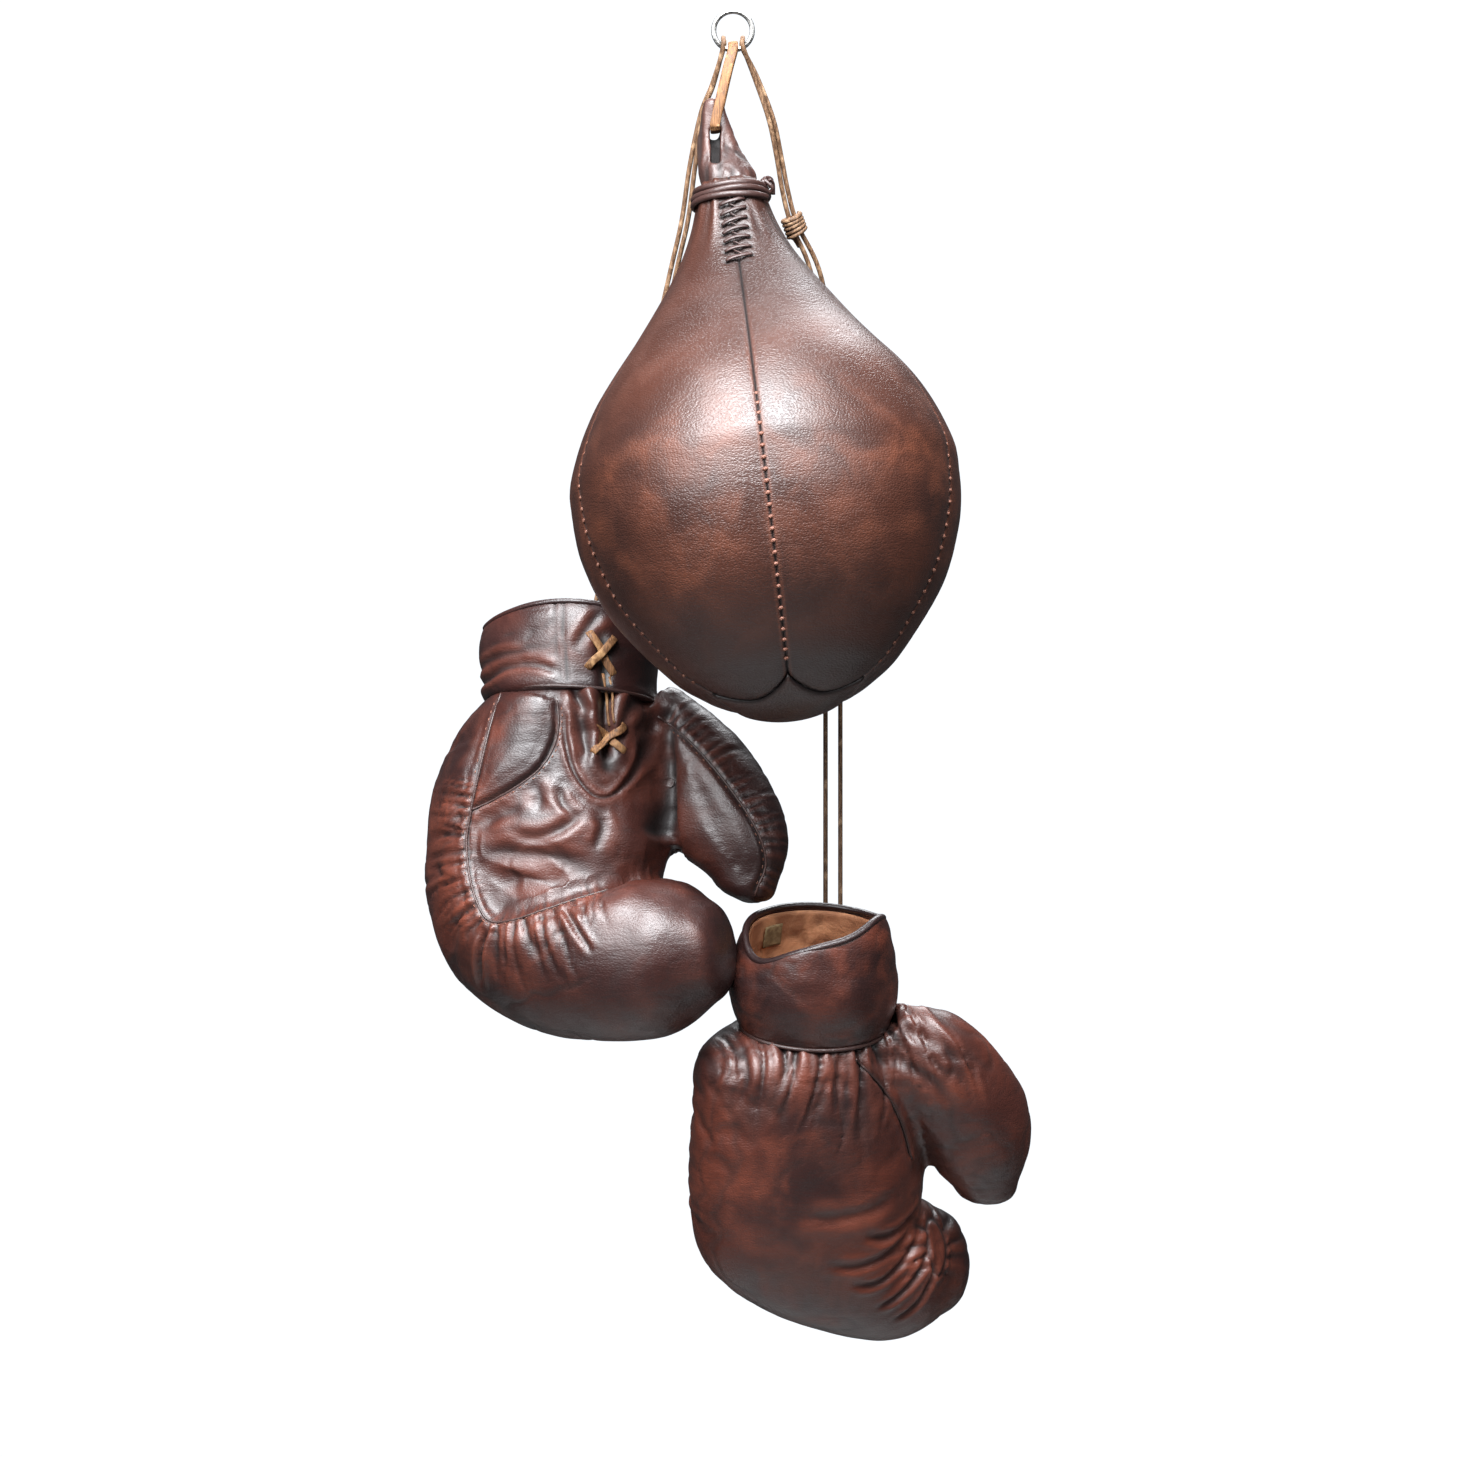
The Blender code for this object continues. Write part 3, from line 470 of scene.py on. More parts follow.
OXBLOOD = aged_leather(
    "oxblood_leather_bag", (0.030, 0.011, 0.008), (0.064, 0.020, 0.012), (0.20, 0.052, 0.020),
    gloss=0.42, grain=0.36,
)
GLOVE_LEATHER = aged_leather(
    "oxblood_leather_glove", (0.016, 0.006, 0.006), (0.046, 0.013, 0.010), (0.20, 0.042, 0.018),
    gloss=0.42, seed=3.1,
)
DARK_THONG = aged_leather(
    "dark_thong_leather", (0.03, 0.012, 0.01), (0.07, 0.028, 0.022), (0.13, 0.05, 0.035), gloss=0.5, seed=5.3
)
TAN_LACE = lace_leather("tan_lace_leather", (0.13, 0.055, 0.02), (0.34, 0.16, 0.065), (0.52, 0.29, 0.13))
CORD_LEATHER = lace_leather("cord_leather", (0.10, 0.05, 0.025), (0.27, 0.15, 0.08), (0.42, 0.26, 0.15))
LINING = lining_leather("tan_lining")
SEAM_THREAD = thread("seam_thread", (0.12, 0.04, 0.026), (0.30, 0.13, 0.085))
STEEL = brushed_steel("ring_steel")
LABEL = woven_label("blank_label")
RUBBER = black_rubber("bladder_rubber")


# Camera, floor and light


def build_camera():
    data = bpy.data.cameras.new("camera")
    data.sensor_width = SENSOR
    data.lens = SENSOR * CAMERA_DISTANCE / FRAME_WIDTH
    camera = bpy.data.objects.new("camera", data)
    camera.location = (CAMERA_X, -CAMERA_DISTANCE, CAMERA_Z)
    camera.rotation_euler = (math.radians(90), 0, 0)
    bpy.context.scene.collection.objects.link(camera)
    bpy.context.scene.camera = camera


def area_light(name, where, target, size, power):
    data = bpy.data.lights.new(name, "AREA")
    data.shape = "RECTANGLE"
    data.spread = math.radians(LIGHT_SPREAD)
    data.size, data.size_y = size
    data.energy = power
    data.color = LIGHT_COLOUR
    light = bpy.data.objects.new(name, data)
    light.location = where
    light.rotation_euler = (Vector(target) - light.location).to_track_quat("-Z", "Y").to_euler()
    light.visible_camera = False
    bpy.context.scene.collection.objects.link(light)


def build_light():
    bpy.context.scene.view_settings.view_transform = "Standard"
    world = bpy.data.worlds.new("world")
    world.use_nodes = True
    tree = world.node_tree
    background = tree.nodes["Background"]
    background.inputs["Color"].default_value = WORLD_COLOUR
    seen = tree.nodes.new("ShaderNodeLightPath").outputs["Is Camera Ray"]
    strength = tree.nodes.new("ShaderNodeMapRange")
    strength.inputs["To Min"].default_value = WORLD_ON_OBJECT
    strength.inputs["To Max"].default_value = WORLD_BEHIND
    tree.links.new(seen, strength.inputs["Value"])
    tree.links.new(strength.outputs["Result"], background.inputs["Strength"])
    bpy.context.scene.world = world
    for name, settings in LIGHT_PANELS.items():
        area_light(name, *settings)


def build_floor():
    edge = round_outline(FLOOR_RADIUS, FLOOR_RADIUS, 96)
    levels = (FLOOR_Z, FLOOR_Z - FLOOR_THICK)
    rings = [np.column_stack([edge, np.full(len(edge), z)]) for z in levels]
    points, faces = skin(rings, *((0, 0, z) for z in levels))
    g = Graph("pale_floor")
    base = g.mix(g.noise(3.0, 4.0), (0.48, 0.48, 0.475), (0.54, 0.54, 0.535))
    material = g.finish(Base_Color=base, Roughness=0.7)
    mesh_object("floor", points, faces, Matrix.Identity(4), material, smooth=False)


# Cords


def cord_points(front_run, back_run, side):
    """The whole route: up the front run, over the ring's wire and down the back run."""
    x = side * CORD_OFFSET
    wire_z = RING_CENTRE_Z - math.sqrt(RING_RADIUS**2 - CORD_OFFSET**2)
    reach = RING_WIRE + CORD_RADIUS + CORD_OVER_WIRE
    over = [(x, -reach * math.cos(a), wire_z + reach * math.sin(a)) for a in np.pi * np.arange(5) / 4]
    return catmull([*front_run[::-1], *over, *back_run], CORD_STEPS) * MM


def cord_curve(name, points):
    curve = bpy.data.curves.new(name, "CURVE")
    curve.dimensions = "3D"
    curve.bevel_depth = CORD_RADIUS * MM
    curve.bevel_resolution = 4
    curve.use_fill_caps = True
    spline = curve.splines.new("POLY")
    spline.points.add(len(points) - 1)
    for slot, point in zip(spline.points, points):
        slot.co = (*point, 1)
    curve.materials.append(CORD_LEATHER)
    obj = bpy.data.objects.new(name, curve)
    bpy.context.scene.collection.objects.link(obj)
    return obj


def build_knot():
    """Four turns of lace wrapped round the two runs, and its tucked end."""
    top, low = np.array(KNOT_TOP), np.array(KNOT_LOW)
    along = (low - top) / np.linalg.norm(low - top)
    across = np.array(KNOT_ACROSS)
    across = across - along * across.dot(along)
    across /= np.linalg.norm(across)
    deep = np.cross(along, across)
    middle = (top + low) / 2
    count = KNOT_TURNS * KNOT_PER_TURN
    points = []
    for i in range(int(count) + 1):
        a = 2 * math.pi * i / KNOT_PER_TURN
        run = (i / count - 0.5) * KNOT_LENGTH + 0.35 * math.sin(3.7 * a * 0.31 + 1)
        turn = across * KNOT_HALF_WIDTH * math.cos(a) + deep * KNOT_HALF_DEPTH * math.sin(a)
        points.append(middle + along * run + turn)
    wrap = sweep(points, round_outline(1.7, 1.35))
    last = points[-1]
    tail = catmull([last, last + 3 * across + 3 * along, last + 4.5 * across + 9 * along], 6)
    end = sweep(tail, round_outline(1.5, 1.1))
    return mesh_object("right_lace_knot", *joined([wrap, end]), TO_METRES, CORD_LEATHER)


def build_cords():
    left = cord_points(LEFT_FRONT_RUN, LEFT_BACK_RUN, -1)
    right = cord_points(RIGHT_FRONT_RUN, RIGHT_BACK_RUN, 1)
    knot = build_knot()
    for side, points, length, pieces in (
        ("left", left, LEFT_CORD_LENGTH, []),
        ("right", right, RIGHT_CORD_LENGTH, [knot]),
    ):
        lace = cord_curve(f"{side}_lace", points)
        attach(lace, f"{side}_cord")
        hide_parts(f"{side}_glove_cord")
    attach(knot, "right_cord")
    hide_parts("right_cord_knot")


def place(obj, body, slot, *nodes):
    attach(obj, body)
    if nodes:
        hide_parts(*nodes)


def piece(name, shape, matrix, material, body, slot, nodes=(), values=None):
    """One visible mesh from (points, faces), on its body and in place of its CAD nodes."""
    obj = mesh_object(name, *shape, matrix, material, values)
    place(obj, body, slot, *nodes)
    return obj


# Bag


BAG_NECK = (4, -17, -162)
BAG_SIDE_LEAN = 0.115
BAG_FRONT_LEAN = 0.185
# Depth below the neck, and the radius there, down to the pole.
BAG_OUTLINE = (
    (-57, 19.5), (-28, 28), (0, 42), (38, 68), (80, 100), (118, 117), (140, 119.5), (171, 116),
    (209, 101), (247, 72), (262, 54), (270, 41), (277, 27), (281, 13), (282, 0),
)
PANELS = 5
LEATHER = 2.4
PANEL_ROWS = 150
PANEL_COLUMNS = 44
CAP_CORNER_DEPTH = 265
CAP_EDGE_DEPTH = 274
STITCH_PITCH = 7.2
BAG_STITCH = (1.7, 1.35, 1.1)
FIRST_STITCH_DEPTH = 104
LACING = 7
LACING_TOP, LACING_LOW = -41, 0


def bag_matrix():
    up = Vector((-BAG_SIDE_LEAN, BAG_FRONT_LEAN, 1)).normalized()
    right = Vector((0, 1, 0)).cross(up).normalized()
    turn = Matrix((right, up.cross(right), up)).transposed().to_4x4()
    return TO_METRES @ Matrix.Translation(BAG_NECK) @ turn


def bag_profile():
    """Rows of distance along the skin, depth, radius, and the outward normal's radial and downward parts."""
    line = catmull(BAG_OUTLINE, 14)
    line[:, 1] = np.maximum(line[:, 1], 0)
    step = np.diff(line, axis=0)
    run = np.concatenate([[0], np.cumsum(np.linalg.norm(step, axis=1))])
    slope = np.gradient(line, run, axis=0)
    slope /= np.linalg.norm(slope, axis=1)[:, None]
    return np.column_stack([run, line, slope[:, 0], -slope[:, 1]])


BAG_PROFILE = bag_profile()


def on_bag(run, angle, lift=0.0):
    """Points at a distance along the skin and an angle round it, in the bag's frame."""
    depth, radius, radial, down = (np.interp(run, BAG_PROFILE[:, 0], BAG_PROFILE[:, k]) for k in range(1, 5))
    out = radius + lift * radial
    return np.stack([out * np.sin(angle), -out * np.cos(angle), -(depth + lift * down)], -1)


def run_at(depth):
    return np.interp(depth, BAG_PROFILE[:, 1], BAG_PROFILE[:, 0])


def radius_at(run):
    return np.interp(run, BAG_PROFILE[:, 0], BAG_PROFILE[:, 2])


def lacing_holes():
    """(run, angle) of the left and right hole of each stitch of the throat's lacing."""
    pairs = []
    for k in range(LACING):
        depth = LACING_TOP + (LACING_LOW - LACING_TOP) * k / (LACING - 1)
        left, right = run_at(depth + 3.2), run_at(depth)
        pairs.append(((left, -8.0 / radius_at(left)), (right, 8.5 / radius_at(right))))
    return pairs


def panel_relief(run, angle, share, depth):
    """Height, painted shade, rubbed edges with painted highlight, and tone over one panel. Share runs from 0
    to 1 across it.
    """
    radius = radius_at(run)
    span = 2 * math.pi / PANELS
    edge = np.minimum(share, 1 - share) * span * radius
    flat = np.stack([radius * np.sin(angle), -radius * np.cos(angle), -depth], -1).reshape(-1, 3)
    shape = run.shape
    lumps = noise(flat, 46, 3).reshape(shape) * 0.55 + noise(flat, 17, 4).reshape(shape) * 0.16
    pucker = np.sin(2 * math.pi * run / STITCH_PITCH + (share > 0.5) * 0.8)
    lower = smoothstep(20, 110, depth)
    height = lumps * smoothstep(-20, 30, depth) - 0.9 * np.exp(-edge / 1.0) - 1.9 * np.exp(-edge / 13)
    height = height + 0.22 * pucker * np.exp(-edge / 3.0) * (0.2 + 0.8 * lower)
    # Painted shade along each seam's pulled-in valley.
    crease = 0.9 * bell(edge, 0.75) + 0.3 * np.exp(-edge / 6)
    # A pale line beside each seam, below the top: partly rubbed leather, partly a painted highlight.
    wear = 0.4 * bell(edge - 1.9, 0.8) * lower
    grain = noise(flat * [1, 1, 2.2], 5.5, 9).reshape(shape)
    height = height - 0.12 * bell(grain, 0.16) * smoothstep(60, 150, depth)
    throat = smoothstep(8, -40, depth)
    upright = np.column_stack([angle.ravel() * 26, run.ravel() * 0.10, np.zeros(angle.size)])
    folds = noise(upright, 4.2, 6).reshape(shape)
    height = height + throat * 1.1 * folds
    # Painted shade in the valleys of the throat's folds.
    crease = crease + throat * 0.35 * smoothstep(0.15, 0.6, -folds)
    wrapped = (angle + math.pi) % (2 * math.pi) - math.pi
    for pair in lacing_holes():
        for hole_run, hole_angle in pair:
            away = np.hypot(run - hole_run, (wrapped - hole_angle) * radius)
            # Each lacing hole sinks in a dimple with painted shade in it.
            height = height - 1.5 * bell(away, 1.8)
            crease = crease + 0.95 * bell(away, 1.7)
        (left_run, left_angle), (right_run, right_angle) = pair
        middle = (left_run + right_run) / 2 + 2.6
        between = bell(run - middle, 1.5) * smoothstep(10, 6, abs(wrapped) * radius)
        # Painted shade in the dip across each stitch.
        height = height - 0.5 * between
        crease = crease + 0.35 * between
    tone = 0.06 + 0.8 * bell(depth - 165, 62) * (0.8 + 0.3 * lumps)
    return height, np.clip(crease, 0, 1), np.clip(wear, 0, 1), np.clip(tone, 0, 1)


def grid_faces(rows, columns, start=0, flip=False):
    faces = []
    for r in range(rows - 1):
        for c in range(columns - 1):
            a = start + r * columns + c
            face = (a, a + 1, a + columns + 1, a + columns)
            faces.append(face[::-1] if flip else face)
    return faces


def walled_grid(outer, inner):
    """(points, faces) of a sheet with thickness from two equal grids of points."""
    rows, columns = outer.shape[:2]
    size = rows * columns
    faces = grid_faces(rows, columns) + grid_faces(rows, columns, size, True)
    index = np.arange(size).reshape(rows, columns)
    edge = np.concatenate([index[0], index[1:, -1], index[-1, -2::-1], index[-2:0:-1, 0]])
    for a, b in zip(edge, np.roll(edge, -1)):
        faces.append((int(b), int(a), int(a) + size, int(b) + size))
    return np.vstack([outer.reshape(-1, 3), inner.reshape(-1, 3)]), faces


def cap_edge(share):
    """How far along the skin the panels reach before the cap, which has a corner at each seam."""
    bow = 1 - (2 * share - 1) ** 2
    return run_at(CAP_CORNER_DEPTH) + (run_at(CAP_EDGE_DEPTH) - run_at(CAP_CORNER_DEPTH)) * bow**0.7


def build_panel(index, matrix):
    span = 2 * math.pi / PANELS
    share = 0.5 - 0.5 * np.cos(math.pi * np.arange(PANEL_COLUMNS + 1) / PANEL_COLUMNS)
    share = 0.0005 + 0.999 * share
    down = np.arange(PANEL_ROWS + 1) / PANEL_ROWS
    share, down = np.meshgrid(share, down)
    top = run_at(BAG_OUTLINE[0][0])
    run = top + (cap_edge(share) - 0.25 - top) * down
    angle = (index + share) * span
    depth = np.interp(run, BAG_PROFILE[:, 0], BAG_PROFILE[:, 1])
    height, crease, wear, tone = panel_relief(run, angle, share, depth)
    end = cap_edge(share) - run
    # The panels sink and take painted shade where they meet the cap.
    height = height - 1.2 * np.exp(-end / 1.7) - 0.5 * np.exp(-end / 8)
    crease = np.clip(crease + 0.9 * bell(end, 1.4), 0, 1)
    values = {k: np.tile(v.ravel(), 2) for k, v in (("crease", crease), ("wear", wear), ("tone", tone))}
    node = f"bag_panel_{index + 1}"
    shape = walled_grid(on_bag(run, angle, height), on_bag(run, angle, height - LEATHER))
    panel = piece(f"{node}_leather", shape, matrix, OXBLOOD, "bag", "oxblood_leather", (node,), values)


def build_cap(matrix):
    """The five-cornered patch that closes the bottom."""
    rows, columns = ((22, 240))
    share = (np.arange(columns) / columns * PANELS) % 1
    angle = 2 * math.pi * np.arange(columns) / columns
    end = BAG_PROFILE[-1, 0]
    start = cap_edge(share) + 0.25
    rings = []
    marks = []
    for skin_lift in (0.0, -LEATHER):
        for r in range(rows):
            near = start + (end - start) * (r / rows) ** 1.25
            edge = near - start
            height = -1.2 * np.exp(-edge / 1.6) - 0.4 * np.exp(-edge / 7)
            rings.append(on_bag(near, angle, height + skin_lift))
            # Painted shade along the cap's sunken seam.
            marks.append(0.9 * bell(edge, 1.4))
    outer, inner = rings[:rows], rings[rows:]
    pole = -BAG_OUTLINE[-1][0]
    points, faces = skin(outer[::-1] + inner, (0, 0, pole), (0, 0, pole + LEATHER))
    crease = np.concatenate([*marks[:rows][::-1], *marks[rows:], [0, 0]])
    values = {"crease": crease, "tone": np.full(len(points), 0.2)}
    piece(
        "bag_bottom_cap_leather", (points, faces), matrix, OXBLOOD, "bag", "oxblood_leather",
        ("bag_bottom_cap",), values,
    )


def build_seam_stitches(matrix):
    """Raised loops of thread over each seam."""
    places, alongs, ups = [], [], []
    first, last = run_at(FIRST_STITCH_DEPTH), run_at(CAP_CORNER_DEPTH - 6)
    for index in range(PANELS):
        turn = index * 2 * math.pi / PANELS
        for run in np.arange(first, last, STITCH_PITCH):
            deep = -2.9 + 0.9 * float(smoothstep(run_at(100), run_at(150), run))
            here, lifted = on_bag(run, turn, deep), on_bag(run, turn, 1.0)
            ahead = on_bag(run + 1, turn, deep) - here
            out = lifted - here
            across = np.cross(ahead, out)
            across = across / np.linalg.norm(across) + 0.35 * ahead / np.linalg.norm(ahead)
            places.append(here)
            alongs.append(across)
            ups.append(out)
    shape = beads(places, alongs, ups, BAG_STITCH)
    piece("bag_seam_stitches", shape, matrix, SEAM_THREAD, "bag", "oxblood_leather")


def build_throat_lacing(matrix):
    """Slanting stitches of dark thong across the throat, each sunk into a hole at both ends."""
    parts = []
    holes = lacing_holes()
    share = np.linspace(0, 1, 13)
    for k, ((left_run, left_angle), (right_run, right_angle)) in enumerate(holes):
        lift = 1.7 * np.sin(math.pi * share) ** 0.6 - 0.9 + 0.25 * math.sin(2.1 * k)
        run = left_run + (right_run - left_run) * share + 0.5 * np.sin(math.pi * share + k)
        angle = left_angle + (right_angle - left_angle) * share
        points = on_bag(run, angle, lift)
        parts.append(sweep(points, strap_outline(1.15, 0.75, 12), on_bag(run, angle, lift + 1) - points))
    for ((left_run, left_angle), _), (_, (right_run, right_angle)) in zip(holes, holes[1:]):
        run = left_run + (right_run - left_run) * share
        angle = left_angle * 0.25 + (right_angle * 0.35 - left_angle * 0.25) * share
        points = on_bag(run, angle, 0.4 * np.sin(math.pi * share) - 0.9)
        parts.append(sweep(points, round_outline(0.8, 0.6, 8)))
    piece(
        "bag_throat_thong", joined(parts), matrix, DARK_THONG, "bag", "oxblood_leather",
        ("bag_throat_lacing",),
    )


def build_neck_binding(matrix):
    """Three rough turns of dark thong round the neck, and the knot on their right."""
    per_turn, turns = 40, 3
    count = per_turn * turns + 1
    turn = 2 * math.pi * np.arange(count) / per_turn + 1.2
    wobble = noise_line(turn * 5, 6, 12)
    depth = -54.5 + 3.7 * np.arange(count) / per_turn + 0.9 * wobble
    radius = radius_at(run_at(np.maximum(depth, -57))) + 1.5 + 0.5 * noise_line(turn * 5, 4, 13)
    points = np.column_stack([radius * np.sin(turn), -radius * np.cos(turn), -depth])
    parts = [sweep(points, round_outline(1.5, 2.0, 12), np.tile([0, 0, 1.0], (count, 1)))]
    middle = np.array([radius_at(run_at(-52)) + 3.2, -3.5, 52.5])
    loop = 2 * math.pi * np.arange(28) / 28
    knot = middle + np.column_stack([2.2 * np.sin(2 * loop), 3.4 * np.cos(loop), 4.6 * np.sin(loop)])
    parts.append(sweep(knot, round_outline(1.5, 1.2, 10), closed=True))
    tail = catmull([middle + (0.5, -2, 3), middle + (2.6, 1, 1), middle + (2.2, 4.5, -5)], 7)
    parts.append(sweep(tail, round_outline(1.5, 1.0, 10)))
    piece(
        "bag_neck_thong", joined(parts), matrix, DARK_THONG, "bag", "oxblood_leather", ("bag_neck_binding",)
    )


HOOD_RINGS = (
    # x, y, z, half width, half depth
    (-1.4, -8.2, -114, 15.5, 15.5), (-3.4, -6, -101, 17.2, 15.5), (-7, -3, -90, 15.2, 11),
    (-10, 0, -80, 12.4, 7.4), (-11.5, 0, -66, 9.2, 5), (-12.5, 0, -56, 6.6, 4), (-12.8, 0, -53, 3.5, 2.5),
)
HOOD_PIVOT = (-11, 0, -72)
SLOT_HALF_WIDTH = 3.75
SLOT_TOP, SLOT_LOW, SLOT_BACK = -69.5, -94.5, -77.5


def slot_blade(low, rear):
    """What cuts the slot: a slim upright shape from in front of the hood to the given depth."""
    a = np.pi * np.arange(9) / 8
    half = SLOT_HALF_WIDTH
    top = np.column_stack([half * np.cos(a), SLOT_TOP - half + half * np.sin(a)])
    bottom = np.column_stack([-half * np.cos(a) * 0.8, low + 1.2 - 1.2 * np.sin(a)])
    x, z = np.vstack([top, bottom]).T
    rings = [np.column_stack([HOOD_PIVOT[0] + x, np.full(len(x), y), z]) for y in (-40, rear)]
    points, faces = skin(rings, rings[0].mean(0), rings[1].mean(0))
    mesh = bpy.data.meshes.new("slot")
    mesh.from_pydata(points.tolist(), [], faces)
    if volume_of(mesh) < 0:
        mesh.flip_normals()
    return bpy.data.objects.new("slot", mesh)


def slot_depth(points):
    """How far inside the slot a point of the hood lies, from 0 to 1."""
    x, _, z = np.abs(points - (HOOD_PIVOT[0], 0, (SLOT_TOP + SLOT_LOW) / 2)).T
    within = (x < SLOT_HALF_WIDTH + 0.6) & (z < (SLOT_TOP - SLOT_LOW) / 2 + 0.6)
    return within * smoothstep(0, 3, 5.5 - np.abs(points[:, 1]))


def build_hood():
    """The gathered leather hood, with the slot that the thong comes out of."""
    rings = []
    for x, y, z, wide, deep in catmull(HOOD_RINGS, 5):
        rings.append(np.column_stack([round_outline(wide, deep, 48) + (x, y), np.full(48, z)]))
    body = skin(rings, rings[0].mean(0), rings[-1].mean(0))
    blades = [slot_blade(SLOT_LOW, 1.5), slot_blade(SLOT_BACK, 40)]
    steps = [("BOOLEAN", {"object": blade, "operation": "DIFFERENCE"}) for blade in blades]
    steps.append(("REMESH", {"mode": "VOXEL", "voxel_size": 0.8}))
    steps.append(("SMOOTH", {"factor": 0.5, "iterations": 3}))
    points, normals, faces = worked(*body, steps)
    for blade in blades:
        bpy.data.objects.remove(blade)
    folds = noise(points * [1, 1, 0.16], 4.2, 21)
    small = noise(points * [1, 1, 0.5], 2.4, 22)
    height = 0.9 * folds + 0.3 * small
    # Painted shade in the fold valleys and inside the slot; fold tops paler, partly rubbed, partly a painted
    # highlight.
    values = {
        "crease": np.clip(smoothstep(0.05, 0.55, -folds) * 0.7 + slot_depth(points), 0, 1),
        "wear": smoothstep(0.25, 0.7, folds) * 0.35,
        "tone": np.full(len(points), 0.25),
    }
    shape = points + normals * height[:, None], faces
    piece("bag_hood_leather", shape, TO_METRES, DARK_THONG, "bag", "oxblood_leather", ("bag_hood",), values)


def build_bag_thong():
    """The flat tan thong from the ring to the hood."""
    ring_low = RING_CENTRE_Z - RING_RADIUS
    reach, spread, bend = 4.1, 9.5, 3.0
    x, _, z = HOOD_PIVOT
    points = [(0, -reach * math.cos(a), ring_low + reach * math.sin(a)) for a in np.pi * np.arange(9) / 8]
    points += [(x * 0.3, spread * 0.75, ring_low - 12), (x * 0.75, spread, z + 16)]
    for side, turns in ((1, (0, 30, 60, 90)), (-1, (90, 60, 30, 0))):
        for turn in np.radians(turns):
            out, low = bend * math.cos(turn), bend * math.sin(turn)
            points.append((x, side * (spread - bend + out), z + bend - low))
    points += [(x * 0.75, -spread, z + 16), (x * 0.3, -spread * 0.75, ring_low - 12)]
    line = catmull(points, 4, closed=True)
    strap = sweep(line, strap_outline(1.5, 3.1), np.tile([1.0, 0, 0.12], (len(line), 1)), closed=True)
    piece("tan_thong", strap, TO_METRES, TAN_LACE, "bag_thong", "tan_leather", ("bag_thong",))


def build_bag():
    matrix = bag_matrix()
    for index in range(PANELS):
        build_panel(index, matrix)
    build_cap(matrix)
    build_seam_stitches(matrix)
    build_throat_lacing(matrix)
    build_neck_binding(matrix)
    build_hood()
    build_bag_thong()
    for name in ("bag_bladder", "bag_valve_stem"):
        dress(name, RUBBER)
    dress("hanging_ring", STEEL)


def dress(name, material):
    """Gives a kept CAD node a detailed material."""
    data = frame["nodes"][name].data
    data.materials.clear()
    data.materials.append(material)


# Gloves. Both have their thumb towards +u; the palm faces -v on the left glove and +v on the right.


VOXEL = 3.6
BLOW_FRAMES = 20
BLOW_PRESSURE = 10
BLOW_CAP = 6
DRAWN_IN = 1.3
SKIN_SLACK = 0.016
SKIN_MASS = 0.005
# How much of the cloth's own movement the padding takes away, and how far it pushes out instead.
STUFFED_CALM, STUFFED_PUSH = 0.75, 0.6
RAY_START = 250
GLOVES = {
    "left": {
        "mouth": (-106, 107, -366),
        "lean": -13,
        "turn": -22,
        "palm": -1,
        "cuff": ((-55, -5, 58, -14, 0, 46), (-56, -29, 58, -38, 0, 47), (-52, -57, 57, -65, 0, 45)),
        "mitt": (
            # back u, w; palm u, w; v; half depth
            (-53, -60, 58, -68, 0, 47), (-73, -77, 62, -89, 0, 52), (-89, -109, 65, -121, 0, 56),
            (-94, -151, 68, -160, 0, 57), (-92, -195, 65, -178, 0, 57), (-73, -237, 60, -187, 0, 56),
            (-29, -269, 66, -185, -2, 55), (24, -283, 76, -184, -4, 53), (70, -282, 88, -188, -6, 48),
            (101, -265, 102, -200, -8, 34),
        ),
        "mitt_tip": (115, -8, -233),
        "thumb": (
            (66, -52, 40, -80, 18, 14), (110, -90, 49, -103, 26, 25), (135, -132, 53, -133, 26, 27),
            (141, -163, 64, -158, 26, 25), (133, -187, 90, -177, 26, 17),
        ),
        "thumb_tip": (114, 26, -196),
    },
    "right": {
        "mouth": (53, 28, -567),
        "lean": 18.6,
        "turn": 20,
        "palm": 1,
        "cuff": ((-47, 1, 42, -3, 0, 42), (-52, -31, 47, -38, 0, 47), (-49, -62, 43, -68, 0, 42)),
        "mitt": (
            (-51, -65, 44, -71, 0, 43), (-76, -76, 55, -90, 0, 49), (-83, -100, 66, -119, 0, 53),
            (-85, -146, 71, -161, 0, 56), (-84, -181, 71, -182, 0, 56), (-77, -216, 69, -193, 1, 55),
            (-46, -250, 70, -198, 3, 53), (4, -279, 75, -201, 5, 50), (51, -292, 82, -203, 7, 44),
            (87, -282, 89, -210, 8, 30),
        ),
        "mitt_tip": (107, 8, -248),
        "thumb": (
            (48, -53, 20, -92, -18, 15), (84, -62, 40, -112, -24, 27), (113, -89, 55, -131, -24, 30),
            (132, -121, 65, -149, -24, 30), (136, -153, 73, -166, -24, 27), (129, -182, 86, -180, -24, 18),
        ),
        "thumb_tip": (110, -24, -196),
    },
}
# How far the outline is drawn in for the hand's space, rib by rib from the wrist.
HAND_INSETS = (12, 17, 22, 25, 27)
HAND_ROWS = np.arange(0, 4.01, 0.25)
HAND_END, LINING_END = 14, 12
# The wrist's edge, as (row, inset).
LIP = ((-0.35, 5.0), (-0.6, 7.5), (-0.35, 10.0))
LINING_THICK = 1.1
GLOVE_STITCH = (1.15, 0.42, 0.4)
MITT_NODES = (
    "mitt_shell", "mitt_padding", "thumb_shell", "thumb_stuffing", "wrist_patch", "palm_panel", "thumb_panel",
)

